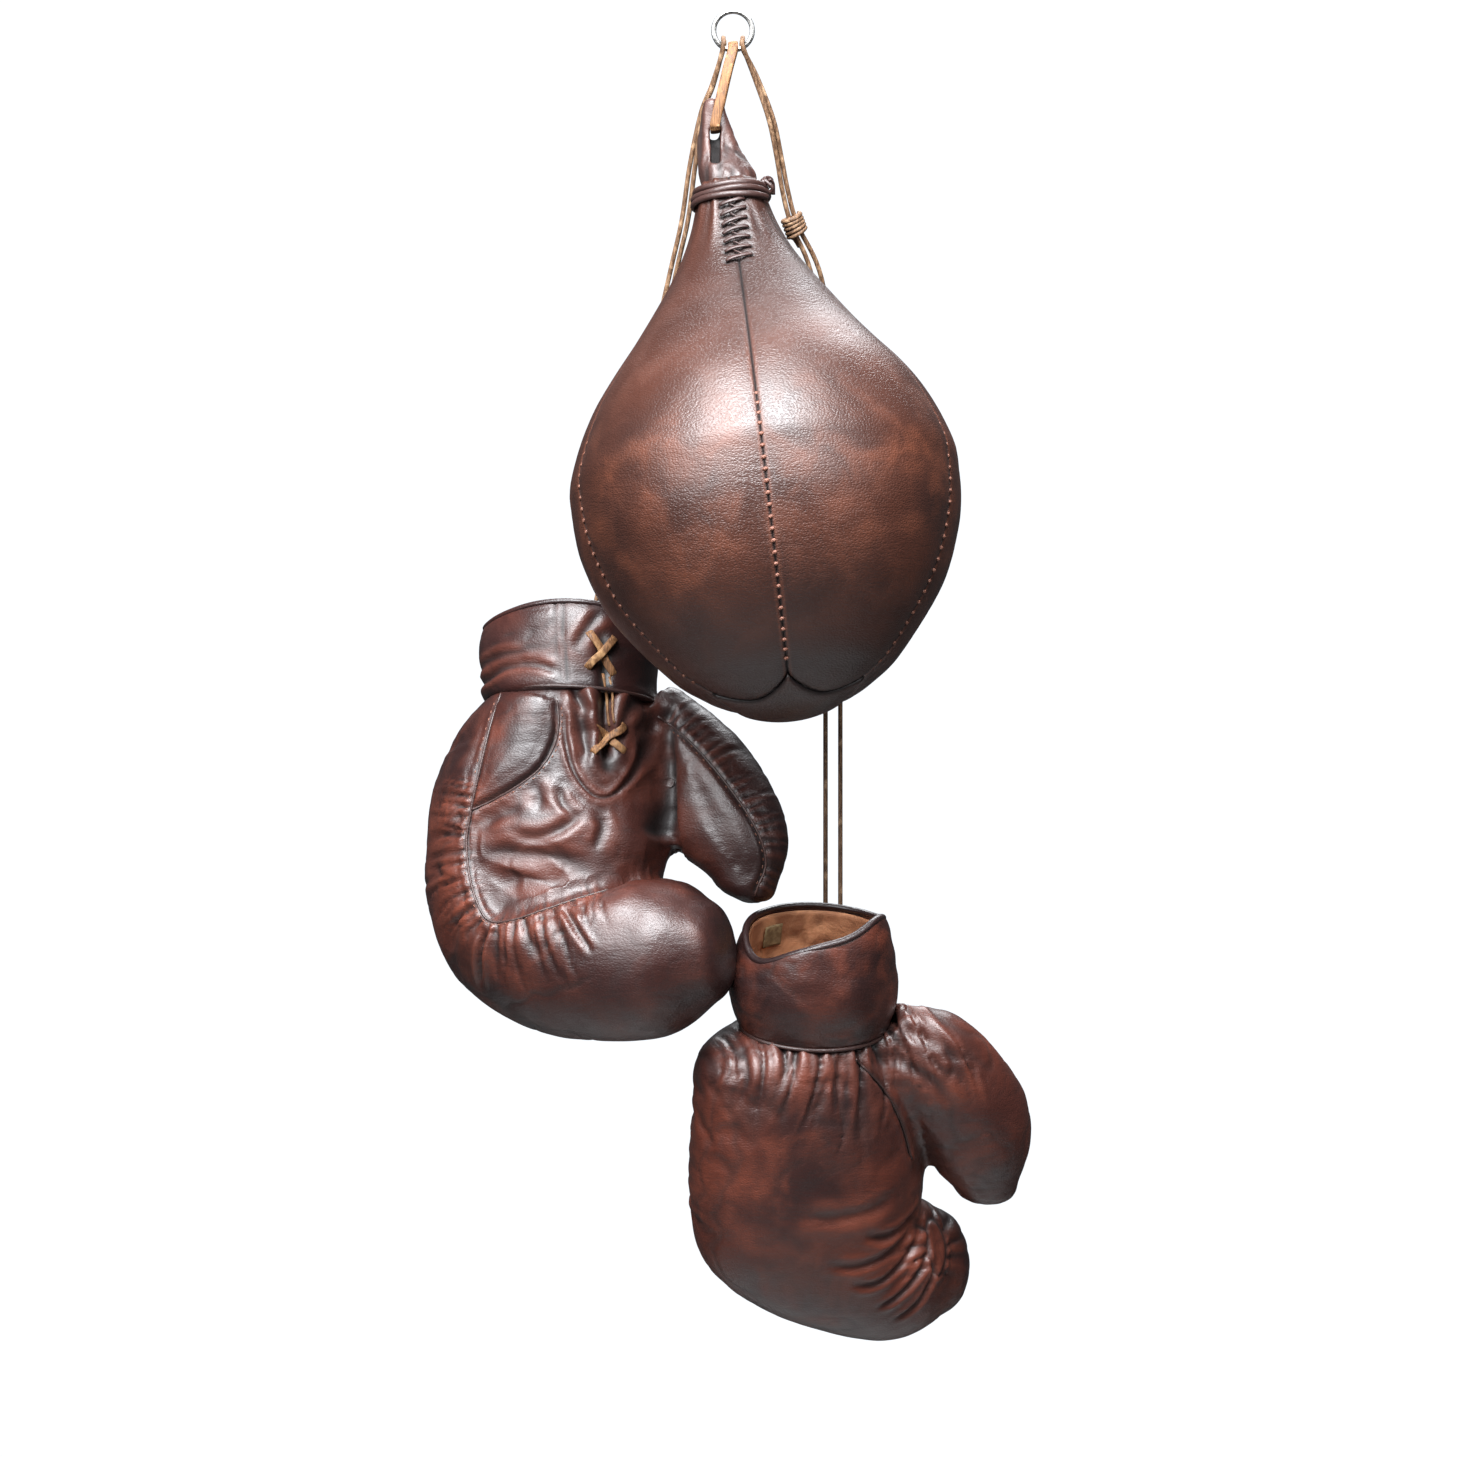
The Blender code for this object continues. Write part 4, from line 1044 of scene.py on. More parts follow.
# Sewn lines, as (u, w) in the glove's frame.
PALM_SEAM = (
    (-28, -62), (-31, -84), (-36, -112), (-43, -142), (-46, -160), (-43, -182), (-36, -202), (-27, -212),
    (-10, -212), (8, -207), (26, -201), (46, -194),
)
PALM_REST = ((72, -188), (76, -150), (70, -100), (62, -62))
PATCH_SEAM = ((-42, -139), (-28, -134), (-12, -127), (4, -116), (12, -102), (15, -88), (14, -72))
SLIT = ((39, -26), (42, -66), (44, -98), (45, -113))
FLAP_SEAM = ((19, -76), (21, -98), (26, -117), (35, -130), (44, -134), (53, -128), (60, -112), (63, -90))
CUFF_SEAM = ((16, -4), (18, -33), (21, -62))
THUMB_SEAM = ((62, -76), (76, -87), (93, -104), (112, -128), (127, -153), (131, -174), (122, -194))
BACK_GATHER = ((-72, -55), (-49, -60), (-19, -65), (6, -67), (27, -65), (46, -57), (62, -46))
BACK_THUMB_SEAM = ((9, -74), (18, -84), (30, -99), (39, -116), (45, -131), (50, -150))
FINGER_END = ((72, -204), (78, -207), (81, -218), (79, -230), (73, -236), (67, -230), (65, -218), (67, -207))

# Soft folds: line, width and depth, then the rise beside it, the fade at its ends and its mark, how strongly
# its valley is painted with shade.
PALM_FOLDS = (
    (((-30, -216), (-37, -232), (-44, -250)), 2.2, 4.0),
    (((20, -205), (32, -220), (44, -238)), 1.8, 3.2),
    (((-41, -166), (-16, -167), (14, -172), (40, -181)), 5.0, 2.0, 0.3, 22),
    (((-30, -185), (-6, -184), (26, -188)), 4.0, 1.3, 0.3, 18, 0.3),
    (((-18, -156), (4, -160), (22, -153), (34, -141)), 3.6, 2.0, 0.4, 14),
    (((40, -140), (44, -154), (38, -172)), 3.4, 1.8, 0.3, 12),
    (((-2, -122), (4, -134), (2, -147)), 4.0, 1.4, 0.3, 10, 0.3),
    (((16, -126), (20, -138), (30, -148)), 2.8, 1.6, 0.4, 9, 0.5),
    (((-38, -150), (-22, -143), (-4, -141)), 4.0, 1.4, 0.3, 12, 0.3),
    (((24, -60), (29, -84), (35, -112)), 3.4, 2.6),
    (((20, -62), (28, -72), (36, -84)), 2.2, 2.0, 0.7),
    (((56, -60), (52, -82), (51, -108)), 3.0, 2.0),
    (((62, -72), (60, -90), (64, -110)), 3.0, 1.8),
)
BACK_FOLDS = (
    (((24, -76), (44, -84), (62, -98), (70, -116)), 3.8, 1.5, 0.4, 16, 0.4),
    (((40, -62), (62, -70), (80, -86)), 3.6, 1.7, 0.4, 12, 0.5),
    (((-36, -168), (-10, -174), (22, -173), (42, -165)), 4.5, 1.3, 0.5, 24, 0.3),
    (((10, -190), (28, -196), (48, -194), (66, -186)), 3.0, 2.0, 0.5, 14),
    (((-16, -206), (8, -212), (34, -208), (58, -196)), 3.0, 1.7, 0.5, 20, 0.5),
    (((2, -224), (22, -228), (44, -219), (62, -202)), 2.4, 2.0, 0.5, 16),
    (((22, -248), (42, -241), (58, -227), (66, -210)), 2.2, 2.2, 0.5, 14),
    (((36, -262), (54, -252), (66, -236), (70, -222)), 2.0, 1.8, 0.5, 12),
)
CUFF_FOLDS = (
    (((-60, -48), (-40, -50), (-20, -46), (0, -48), (16, -54)), 2.4, 1.8),
    (((-58, -40), (-30, -38), (-6, -40)), 2.4, 1.1),
    (((24, -40), (32, -26), (40, -12)), 3.0, 1.6),
)


def glove_matrix(glove):
    turn = Matrix.Rotation(math.radians(glove["turn"]), 4, "Z")
    lean = Matrix.Rotation(math.radians(glove["lean"]), 4, "X")
    return TO_METRES @ Matrix.Translation(glove["mouth"]) @ lean @ turn


def oval(rib, inset=0.0, count=72):
    """The closed outline of one rib, drawn in by the inset, starting at its palm end."""
    back_u, back_w, palm_u, palm_w, v, deep = rib
    turn = 2 * math.pi * np.arange(count) / count
    middle = np.array([(back_u + palm_u) / 2, v, (back_w + palm_w) / 2])
    across = np.array([palm_u - back_u, 0.0, palm_w - back_w])
    half = np.linalg.norm(across) / 2
    ring = middle + np.cos(turn)[:, None] * across / half / 2 * (half - np.asarray(inset)).reshape(-1, 1)
    ring[:, 1] += (deep - np.asarray(inset)) * np.sin(turn)
    return ring


def between(ribs, row):
    """The rib at a fractional row, on smooth lines through the given ones. It runs on past both ends."""
    ribs = np.asarray(ribs, float)
    k = int(np.clip(math.floor(row), 0, len(ribs) - 2))
    t = row - k
    before = ribs[k - 1] if k > 0 else 2 * ribs[0] - ribs[1]
    after = ribs[k + 2] if k + 2 < len(ribs) else 2 * ribs[-1] - ribs[-2]
    a, b = ribs[k], ribs[k + 1]
    if t < 0 or t > 1:
        return a + (b - a) * t
    return 0.5 * (2 * a + (b - before) * t + (2 * before - 5 * a + 4 * b - after) * t**2
                  + (3 * a - before - 3 * b + after) * t**3)


def rounded_end(rib, tip, steps=7):
    """Rings that close from the last rib to its tip in a round nose."""
    ring = oval(rib)
    middle = ring.mean(0)
    tip = np.asarray(tip, float)
    turns = (math.pi / 2 * k / steps for k in range(1, steps))
    return [middle + (tip - middle) * math.sin(t) + (ring - middle) * math.cos(t) for t in turns]


def hand_inset(row):
    return float(np.interp(row, range(5), HAND_INSETS))


def mitt_cup(glove):
    """The padded mitt as one closed skin: outside, over the wrist edge and into the hand's space."""
    ribs = glove["mitt"]
    last = len(ribs) - 1
    outer = [oval(between(ribs, row)) for row in np.arange(0, last + 0.01, 0.2)]
    nose = rounded_end(ribs[-1], glove["mitt_tip"])
    lip = [oval(between(ribs, row), inset) for row, inset in LIP]
    inner = [oval(between(ribs, row), hand_inset(row)) for row in HAND_ROWS]
    floor = inner[-1].mean(0) - (0, 0, HAND_END)
    rings = nose[::-1] + outer[::-1] + lip + inner
    return skin(rings, glove["mitt_tip"], floor)


def thumb_skin(glove):
    ribs = glove["thumb"]
    rows = [oval(between(ribs, row)) for row in np.arange(0, len(ribs) - 0.99, 0.2)]
    rings = rows + rounded_end(ribs[-1], glove["thumb_tip"])
    return skin(rings, rows[0].mean(0), glove["thumb_tip"])


class Relief:
    """Heights, and marks of painted shade and of paler ridges (rubbed and a painted highlight), to add to a
    skin, from lines drawn on the palm's side or the back's.
    """

    def __init__(self, points, normals, palm):
        self.points, self.normals = points, normals
        self.flat = points[:, [0, 2]]
        facing = normals[:, 1] * palm
        self.masks = {"palm": smoothstep(-0.4, 0.15, facing), "back": smoothstep(-0.4, 0.15, -facing)}
        self.height = np.zeros(len(points))
        self.crease = np.zeros(len(points))
        self.wear = np.zeros(len(points))

    def measure(self, line, closed=False, smooth=6):
        """Distance to a line, distance along it, which side, and its length."""
        line = catmull(line, smooth, closed)
        if closed:
            line = np.vstack([line, line[:1]])
        best = np.full(len(self.flat), 1e9)
        along = np.zeros(len(self.flat))
        side = np.ones(len(self.flat))
        run = 0.0
        for a, b in zip(line, line[1:]):
            step = b - a
            length = np.linalg.norm(step)
            away = self.flat - a
            t = np.clip(away @ step / length**2, 0, 1)
            gap = np.linalg.norm(away - t[:, None] * step, axis=1)
            near = gap < best
            best[near] = gap[near]
            along[near] = run + t[near] * length
            side[near] = np.sign(step[0] * away[near, 1] - step[1] * away[near, 0])
            run += length
        return best, along, side, run

    def ends(self, along, total, fade):
        return smoothstep(0, fade, along) * smoothstep(0, fade, total - along) if fade else 1.0

    def groove(self, face, line, width, depth, mark=0.9, fade=4, closed=False):
        gap, along, _, total = self.measure(line, closed)
        strength = self.masks[face] * self.ends(along, total, 0 if closed else fade)
        self.height -= depth * bell(gap, width) * strength
        # Painted shade along the groove.
        self.crease = np.maximum(self.crease, mark * bell(gap, width * 0.9) * strength)

    def fold(self, face, line, width, depth, rise=0.45, fade=9, mark=0.6):
        """A valley with a soft ridge along each side: painted shade in the valley, and the ridges paler,
        partly rubbed, partly a painted highlight.
        """
        gap, along, side, total = self.measure(line)
        strength = self.masks[face] * self.ends(along, total, fade)
        ridge = bell(gap - 1.9 * width, width * 1.1)
        self.height += depth * (rise * ridge - bell(gap, width)) * strength
        self.crease = np.maximum(self.crease, mark * bell(gap, width * 0.8) * strength)
        self.wear = np.maximum(self.wear, 0.4 * ridge * strength)

    def pleats(self, face, line, reach, height, pitch, side, seed, closed=False, first=0.0, slant=0.0):
        """Gathers that run out from a sewn line on one side of it, each of its own length and depth."""
        gap, along, where, total = self.measure(line, closed)
        wave = along / pitch + slant * gap / pitch + 0.4 * noise_line(along, 2.3 * pitch, seed)
        wave = wave + 0.3 * noise_line(gap + 3 * along, 14, seed + 1)
        own = noise_line(np.floor(wave) + 0.5, 0.9, seed + 2)
        length = reach * (0.68 + 0.45 * own)
        shape = abs(np.sin(math.pi * wave)) ** 0.75
        envelope = smoothstep(0.2, 2.2, gap) * np.clip(1 - gap / np.maximum(length, 2), 0, 1) ** 0.8
        envelope = envelope * (where * side > 0) * self.masks[face] * (0.75 + 0.35 * own)
        if not closed:
            envelope = envelope * (smoothstep(first, first + 8, along) * smoothstep(0, 6, total - along))
        self.height += height * envelope * (1.35 * shape - 0.9)
        # Painted shade in each gather's valley; its ridge paler, partly rubbed, partly a painted highlight.
        self.crease = np.maximum(self.crease, 1.5 * envelope * np.clip(1 - 1.7 * shape, 0, 1) ** 0.8)
        self.wear = np.maximum(self.wear, 0.55 * envelope * smoothstep(0.75, 1.0, shape))

    def wrinkles(self, stretch, size, depth, mask, seed, mark=0.4):
        places = self.points * stretch
        value = noise(places, size, seed) + 0.35 * noise(places, size * 0.45, seed + 5)
        line = bell(value, 0.13) * mask * smoothstep(-0.3, 0.4, noise(self.points, size * 2.6, seed + 9))
        self.height -= depth * line
        # Painted shade along each wrinkle.
        self.crease = np.maximum(self.crease, mark * line)


def inside(flat, outline):
    found = np.zeros(len(flat), bool)
    for (ax, ay), (bx, by) in zip(outline, np.roll(outline, -1, 0)):
        crosses = (ay > flat[:, 1]) != (by > flat[:, 1])
        if by == ay:
            continue
        found ^= crosses & (flat[:, 0] < (bx - ax) * (flat[:, 1] - ay) / (by - ay) + ax)
    return found


def on_patch(flat):
    """True where a place is on the padded patch at the wrist."""
    return inside(flat, np.vstack([catmull(PALM_SEAM[:4], 6), catmull(PATCH_SEAM, 6)]))


def palm_relief(relief):
    """The hollow palm, its sewn patch, the lace slit, and the gathers round the seam."""
    within = inside(relief.flat, np.vstack([catmull(PALM_SEAM, 6), PALM_REST]))
    gap, along, _, _ = relief.measure(PALM_SEAM)
    rest_gap = relief.measure(PALM_REST)[0]
    palm = relief.masks["palm"]
    wrist = smoothstep(-62, -100, relief.flat[:, 1])
    hollow = (1 - np.exp(-gap / 9)) * (0.35 + 0.65 * smoothstep(0, 16, rest_gap)) * wrist
    low = smoothstep(-150, -200, relief.flat[:, 1])
    relief.height -= palm * within * (2.5 + 7.0 * low + 2.0 * wrist) * hollow
    relief.height += palm * ~within * 3.0 * bell(gap - 14, 13) * smoothstep(20, 60, along)
    relief.groove("palm", PALM_SEAM, 1.7, 1.7)
    relief.pleats("palm", PALM_SEAM, 62, 4.2, 9.5, -1, 31, first=62)
    relief.pleats("palm", PALM_SEAM, 42, 1.9, 5.6, -1, 37, first=55)
    relief.pleats("palm", PALM_SEAM, 12, 0.5, 5.6, 1, 41, first=60)
    for fold in PALM_FOLDS:
        relief.fold("palm", *fold)
    edge = np.minimum(gap, relief.measure(PATCH_SEAM)[0])
    swell = 6.5 * (1 - np.exp(-edge / 8)) * smoothstep(-60, -72, relief.flat[:, 1])
    relief.height += palm * on_patch(relief.flat) * swell
    relief.groove("palm", PATCH_SEAM, 1.7, 2.2)
    relief.fold("palm", FLAP_SEAM, 2.0, 1.6)
    lacing = relief.measure(SLIT)[0]
    relief.height += palm * 2.6 * bell(lacing - 8, 5) * smoothstep(-150, -120, relief.flat[:, 1])
    # The lace slit: a deep groove with painted shade in it.
    relief.groove("palm", SLIT, 3.2, 6.5, mark=1.3, fade=10)
    # The slit's lowest end: a small dimple with painted shade in it.
    pit = relief.measure(((45, -110), (45, -115)))[0]
    relief.height -= palm * 0.6 * bell(pit, 3)
    relief.crease = np.maximum(relief.crease, palm * bell(pit, 4))


def thumb_relief(relief):
    """The thumb's smooth inner panel and the ruffled band round it."""
    gap, along, side, total = relief.measure(THUMB_SEAM)
    clear = smoothstep(60, 68, relief.flat[:, 0]) * relief.masks["palm"]
    relief.height += 1.6 * clear * bell(gap - 8, 7) * (side < 0)
    # A deep groove where the thumb meets the palm, with painted shade in it.
    relief.groove("palm", ((68, -68), (70, -98), (71, -130), (67, -158)), 4.0, 4.2, mark=1.3, fade=8)
    kept = relief.masks["palm"]
    relief.masks["palm"] = clear
    relief.groove("palm", THUMB_SEAM, 1.6, 1.9)
    relief.pleats("palm", THUMB_SEAM, 24, 1.8, 6.2, 1, 53)
    relief.masks["palm"] = kept


def back_relief(relief):
    """Gathers below the cuff, the thumb's seam, and the creases over the knuckles and finger end."""
    relief.pleats("back", BACK_GATHER, 84, 5.4, 14.0, -1, 61, slant=0.06)
    relief.pleats("back", BACK_GATHER, 48, 1.9, 7.5, -1, 67)
    relief.groove("back", BACK_THUMB_SEAM, 1.5, 1.9)
    for fold in BACK_FOLDS:
        relief.fold("back", *fold)
    relief.groove("back", FINGER_END, 1.4, 1.5, closed=True)
    relief.pleats("back", FINGER_END, 40, 2.4, 7.0, 1, 73, closed=True)


def worn_tone(points, height, share):
    """Where the warm brown shows through: broad cloudy patches on the rounder parts."""
    cloud = noise(points, 62, 81) + 0.5 * noise(points, 25, 82)
    return np.clip(share + 0.5 * cloud + 0.06 * height, 0, 1)


def sewn_places(points, normals, glove):
    """1 where the skin is held: along its seams, at the wrist and round the hand's space."""
    relief = Relief(points, normals, glove["palm"])
    held = np.zeros(len(points))
    for line, face in (
        (PALM_SEAM, "palm"), (PATCH_SEAM, "palm"), (FLAP_SEAM, "palm"), (THUMB_SEAM, "palm"),
        (BACK_THUMB_SEAM, "back"), (FINGER_END, "back"),
    ):
        held = np.maximum(held, smoothstep(6, 3, relief.measure(line)[0]) * relief.masks[face])
    middle = points.mean(0)
    inward = ((points - middle)[:, :2] * normals[:, :2]).sum(1) < 0
    wrist = smoothstep(-92, -58, points[:, 2])
    return np.maximum(np.maximum(held, wrist), inward * smoothstep(-200, -180, points[:, 2]))


def stuffed_places(points, normals, glove):
    """1 where the padding fills the leather tight, so that it hardly creases."""
    relief = Relief(points, normals, glove["palm"])
    thumb = smoothstep(56, 72, points[:, 0]) * smoothstep(-205, -190, points[:, 2])
    back = relief.masks["back"] * smoothstep(-60, -20, points[:, 0]) * 0.5
    return np.maximum.reduce([thumb, back, on_patch(relief.flat) * relief.masks["palm"]])


def blown_out(points, normals, faces, held, stuffed):
    """The skin run as cloth under a little pressure, so that it fills out between its seams."""
    start = points - normals * (DRAWN_IN * (1 - held))[:, None]
    mesh = bpy.data.meshes.new("blown")
    mesh.from_pydata((start * MM).tolist(), [], faces)
    blown = bpy.data.objects.new("blown", mesh)
    scene = bpy.context.scene
    scene.collection.objects.link(blown)
    pins = blown.vertex_groups.new(name="pins")
    for index in np.flatnonzero(held > 0.02):
        pins.add([int(index)], float(held[index]), "REPLACE")
    cloth = blown.modifiers.new("cloth", "CLOTH")
    cloth.settings.vertex_group_mass = "pins"
    cloth.settings.mass = SKIN_MASS
    cloth.settings.shrink_min = -SKIN_SLACK
    cloth.settings.use_pressure = True
    cloth.settings.uniform_pressure_force = BLOW_PRESSURE
    cloth.settings.effector_weights.gravity = 0
    cloth.point_cache.frame_end = BLOW_FRAMES
    for frame in range(1, BLOW_FRAMES + 1):
        scene.frame_set(frame)
    result = blown.evaluated_get(bpy.context.evaluated_depsgraph_get()).to_mesh()
    places = np.empty(len(points) * 3, np.float32)
    result.vertices.foreach_get("co", places)
    step = places.reshape(-1, 3) / MM - start
    length = np.linalg.norm(step, axis=1)
    bpy.data.objects.remove(blown)
    bpy.data.meshes.remove(mesh)
    scene.frame_set(1)
    step *= np.minimum(1, BLOW_CAP / np.maximum(length, 1e-6))[:, None]
    pushed = normals * (DRAWN_IN * STUFFED_PUSH * stuffed)[:, None]
    return start + step * (1 - STUFFED_CALM * stuffed)[:, None] + pushed


def build_mitt(side, glove, matrix):
    parts = joined([mitt_cup(glove), thumb_skin(glove)])
    remesh = ("REMESH", {"mode": "VOXEL", "voxel_size": VOXEL})
    points, normals, faces = worked(*parts, (remesh, ("SMOOTH", {"factor": 0.5, "iterations": 8})))
    held, stuffed = sewn_places(points, normals, glove), stuffed_places(points, normals, glove)
    points = blown_out(points, normals, faces, held, stuffed)
    points, normals, faces = worked(points, faces, (("SUBSURF", {"levels": 1, "render_levels": 1}),))
    relief = Relief(points, normals, glove["palm"])
    seed = 100 if side == "left" else 200
    relief.height += 0.9 * noise(points, 34, seed) + 0.35 * noise(points, 13, seed + 1)
    palm_relief(relief)
    thumb_relief(relief)
    back_relief(relief)
    every = np.ones(len(points))
    relief.wrinkles([1, 1, 1], 30, 0.5, every, seed + 2)
    relief.wrinkles([0.5, 0.7, 1.6], 17, 0.25, every, seed + 3, 0.3)
    relief.wrinkles([1.4, 1.2, 0.8], 10, 0.12, every, seed + 4, 0.2)
    # Marks for the material: painted shade, paler ridges (rubbed and a painted highlight), and tone.
    values = {
        "crease": np.clip(relief.crease, 0, 1),
        "wear": np.clip(relief.wear, 0, 1),
        "tone": worn_tone(points, relief.height, 0.35 if side == "left" else 0.62),
    }
    shape = points + normals * relief.height[:, None], faces
    nodes = [f"{side}_{node}" for node in MITT_NODES]
    mitt = piece(
        f"{side}_mitt", shape, matrix, GLOVE_LEATHER, f"{side}_glove", "oxblood_leather", nodes, values
    )
    return shape


# Cuff section, from its tucked bottom edge up the outside, over the lip and down inside: (row, outward).
CUFF_SECTIONS = {
    "left": (
        (2.02, -3.5), (2.10, -0.5), (2.05, 2.4), (1.9, 3.2), (1.7, 2.2), (1.3, 1.4), (0.8, 1.8), (0.35, 1.6),
        (0.1, 0.9), (-0.03, -0.4), (0.0, -2.0), (0.2, -2.7), (1.0, -2.7), (1.8, -3.2),
    ),
    "right": (
        (2.0, -4.0), (2.06, -1.2), (1.96, 1.4), (1.7, 3.0), (1.3, 3.8), (0.8, 3.6), (0.4, 2.9), (0.14, 2.0),
        (-0.02, 0.6), (-0.04, -1.4), (0.1, -2.7), (1.0, -2.7), (1.8, -3.4),
    ),
}


def rim_wave(side, turn, row):
    """How far the mouth's edge rises or dips round the cuff."""
    def hump(centre, width):
        away = (turn - math.radians(centre) + math.pi) % (2 * math.pi) - math.pi
        return bell(away, math.radians(width))

    if side == "left":
        rise = -8 * hump(-150, 42) + 2.5 * hump(-70, 40) - 3 * hump(60, 60)
    else:
        rise = 12 * hump(-42, 32) - 15 * hump(-165, 38) + 3 * hump(-90, 34) - 1 * hump(90, 60)
    return rise * smoothstep(1.3, 0.0, row)


def cuff_ring(side, glove, row, outward, count):
    turn = 2 * math.pi * np.arange(count) / count
    ring = oval(between(glove["cuff"], row), -np.asarray(outward, float), count)
    ring[:, 2] += rim_wave(side, turn, row)
    return ring


def build_cuff(side, glove, matrix):
    count = 180
    section = catmull(CUFF_SECTIONS[side], 5, closed=True)
    rings = [cuff_ring(side, glove, row, outward, count) for row, outward in section]
    points, faces = skin(rings, closed=True)
    points, normals, faces = worked(points, faces, ())
    if np.einsum("ij,ij->", normals, points - points.mean(0)) < 0:
        normals = -normals
    outside = smoothstep(-1.5, 0.5, np.repeat(section[:, 1], count))
    relief = Relief(points, normals, glove["palm"])
    seed = 300 if side == "left" else 400
    lumps = 1.3 * noise(points, 30, seed) + 0.6 * noise(points * [0.5, 0.5, 1.5], 13, seed + 1)
    relief.height += outside * lumps
    if side == "left":
        for fold in CUFF_FOLDS:
            relief.fold("palm", *fold)
        relief.groove("palm", CUFF_SEAM, 1.2, 1.0)
        relief.groove("palm", tuple((u - 5, w) for u, w in CUFF_SEAM), 1.2, 0.8, 0.6)
    relief.groove("palm", SLIT, 3.0, 2.6, mark=1.3, fade=1)
    relief.wrinkles([0.6, 0.6, 1.7], 14, 0.5, outside, seed + 3)
    # Marks for the material: painted shade, paler ridges (rubbed and a painted highlight), and tone.
    values = {
        "crease": np.clip(relief.crease * outside, 0, 1),
        "wear": np.clip(relief.wear, 0, 1) * outside,
        "tone": worn_tone(points + 40, relief.height, 0.3 if side == "left" else 1.0),
    }
    shape = points + normals * (relief.height * outside)[:, None], faces
    piece(
        f"{side}_cuff_leather", shape, matrix, GLOVE_LEATHER, f"{side}_glove", "oxblood_leather",
        (f"{side}_cuff",), values,
    )
    return shape


def build_lining(side, glove, matrix):
    """One tan bag of soft leather, from the cuff's lip down round the hand's space."""
    count = 150
    skins = []
    for thick in (0.0, LINING_THICK):
        rings = []
        for row in np.arange(0.03, 2.01, 0.1):
            rings.append(cuff_ring(side, glove, row, -3.1 - 1.2 * row / 2 - thick, count))
        for row in HAND_ROWS:
            inset = hand_inset(row) + 1.0 + thick if row > 0.2 else 12.5 + thick
            rings.append(oval(between(glove["mitt"], row), inset, count))
        tip = rings[-1].mean(0) + (0, 0, thick - LINING_END)
        skins.append((rings, tip))
    (outer, outer_tip), (inner, inner_tip) = skins
    points, faces = skin(outer[::-1] + inner, outer_tip, inner_tip)
    rows = np.arange(len(outer))
    deep = np.repeat(np.concatenate([rows[::-1], rows]), count)
    deep = np.concatenate([deep, [len(outer)] * 2]) / len(outer)
    base = np.concatenate([np.vstack(outer[::-1]), np.vstack(outer), [outer_tip, outer_tip]])
    middle = np.array([base[:, 0].mean(), 0.0, 0.0])
    inward = middle - base
    inward[:, 2] = 0
    inward /= np.maximum(np.linalg.norm(inward, axis=1), 1e-6)[:, None]
    ruck = noise(base * [1, 1, 0.5], 15, 501) * 0.5 + 0.5 + 0.4 * noise(base * [1, 1, 1.4], 7, 502)
    points = points + inward * (3.4 * ruck * smoothstep(0.02, 0.12, deep))[:, None]
    # Painted shade: darker deeper inside the glove and in the rucks.
    crease = np.clip(smoothstep(0.1, 0.75, deep) + 0.5 * smoothstep(0.35, 0.0, ruck), 0, 1)
    nodes = (f"{side}_cuff_lining", f"{side}_mitt_lining")
    shape = points, faces
    piece(f"{side}_lining", shape, matrix, LINING, f"{side}_glove", "lining", nodes, {"crease": crease})


def build_piping(side, glove, matrix):
    """The rolled edge round the mouth and the welt under the cuff."""
    count = 120
    turn = 2 * math.pi * np.arange(count) / count
    rim = cuff_ring(side, glove, -0.02, -1.2, count)
    rim[:, 2] += 1.0 + 0.5 * noise_line(turn * 9, 3, 511)
    joint = oval(between(glove["mitt"], -0.12), -0.6, count)
    for name, line, half, material, node in (
        ("mouth_piping", rim, (2.4, 2.0), GLOVE_LEATHER, "mouth_binding"),
        ("cuff_welt", joint, (1.5, 1.3), DARK_THONG, "welt"),
    ):
        shape = sweep(line, round_outline(*half, 12), closed=True)
        piece(
            f"{side}_{name}", shape, matrix, material, f"{side}_glove", "oxblood_leather", (f"{side}_{node}",)
        )


class Skin:
    """Finds places on the finished glove from either side."""

    def __init__(self, meshes, palm):
        points, faces = joined(meshes)
        self.tree = BVHTree.FromPolygons(points.tolist(), faces)
        self.palm = palm

    def hit(self, u, w, face):
        sign = self.palm if face == "palm" else -self.palm
        spot, normal, _, _ = self.tree.ray_cast(Vector((u, sign * RAY_START, w)), Vector((0, -sign, 0)))
        if spot is None:
            return None
        if normal.y * sign < 0:
            normal = -normal
        return np.array(spot), np.array(normal)

    def line(self, flat, face, lift=0.0):
        """Points on the skin under a flat line, and the normals there. A miss leans on its neighbour."""
        hits = [self.hit(u, w, face) for u, w in flat]
        found = [k for k, hit in enumerate(hits) if hit is not None]
        near = [min(found, key=lambda f, k=k: abs(f - k)) for k in range(len(hits))]
        places = np.array([(flat[k][0], hits[n][0][1], flat[k][1]) for k, n in enumerate(near)])
        normals = np.array([hits[n][1] for n in near])
        return places + normals * lift, normals


def settled(points, rounds=2):
    points = points.copy()
    for _ in range(rounds):
        points[1:-1] = (points[:-2] + 2 * points[1:-1] + points[2:]) / 4
    return points


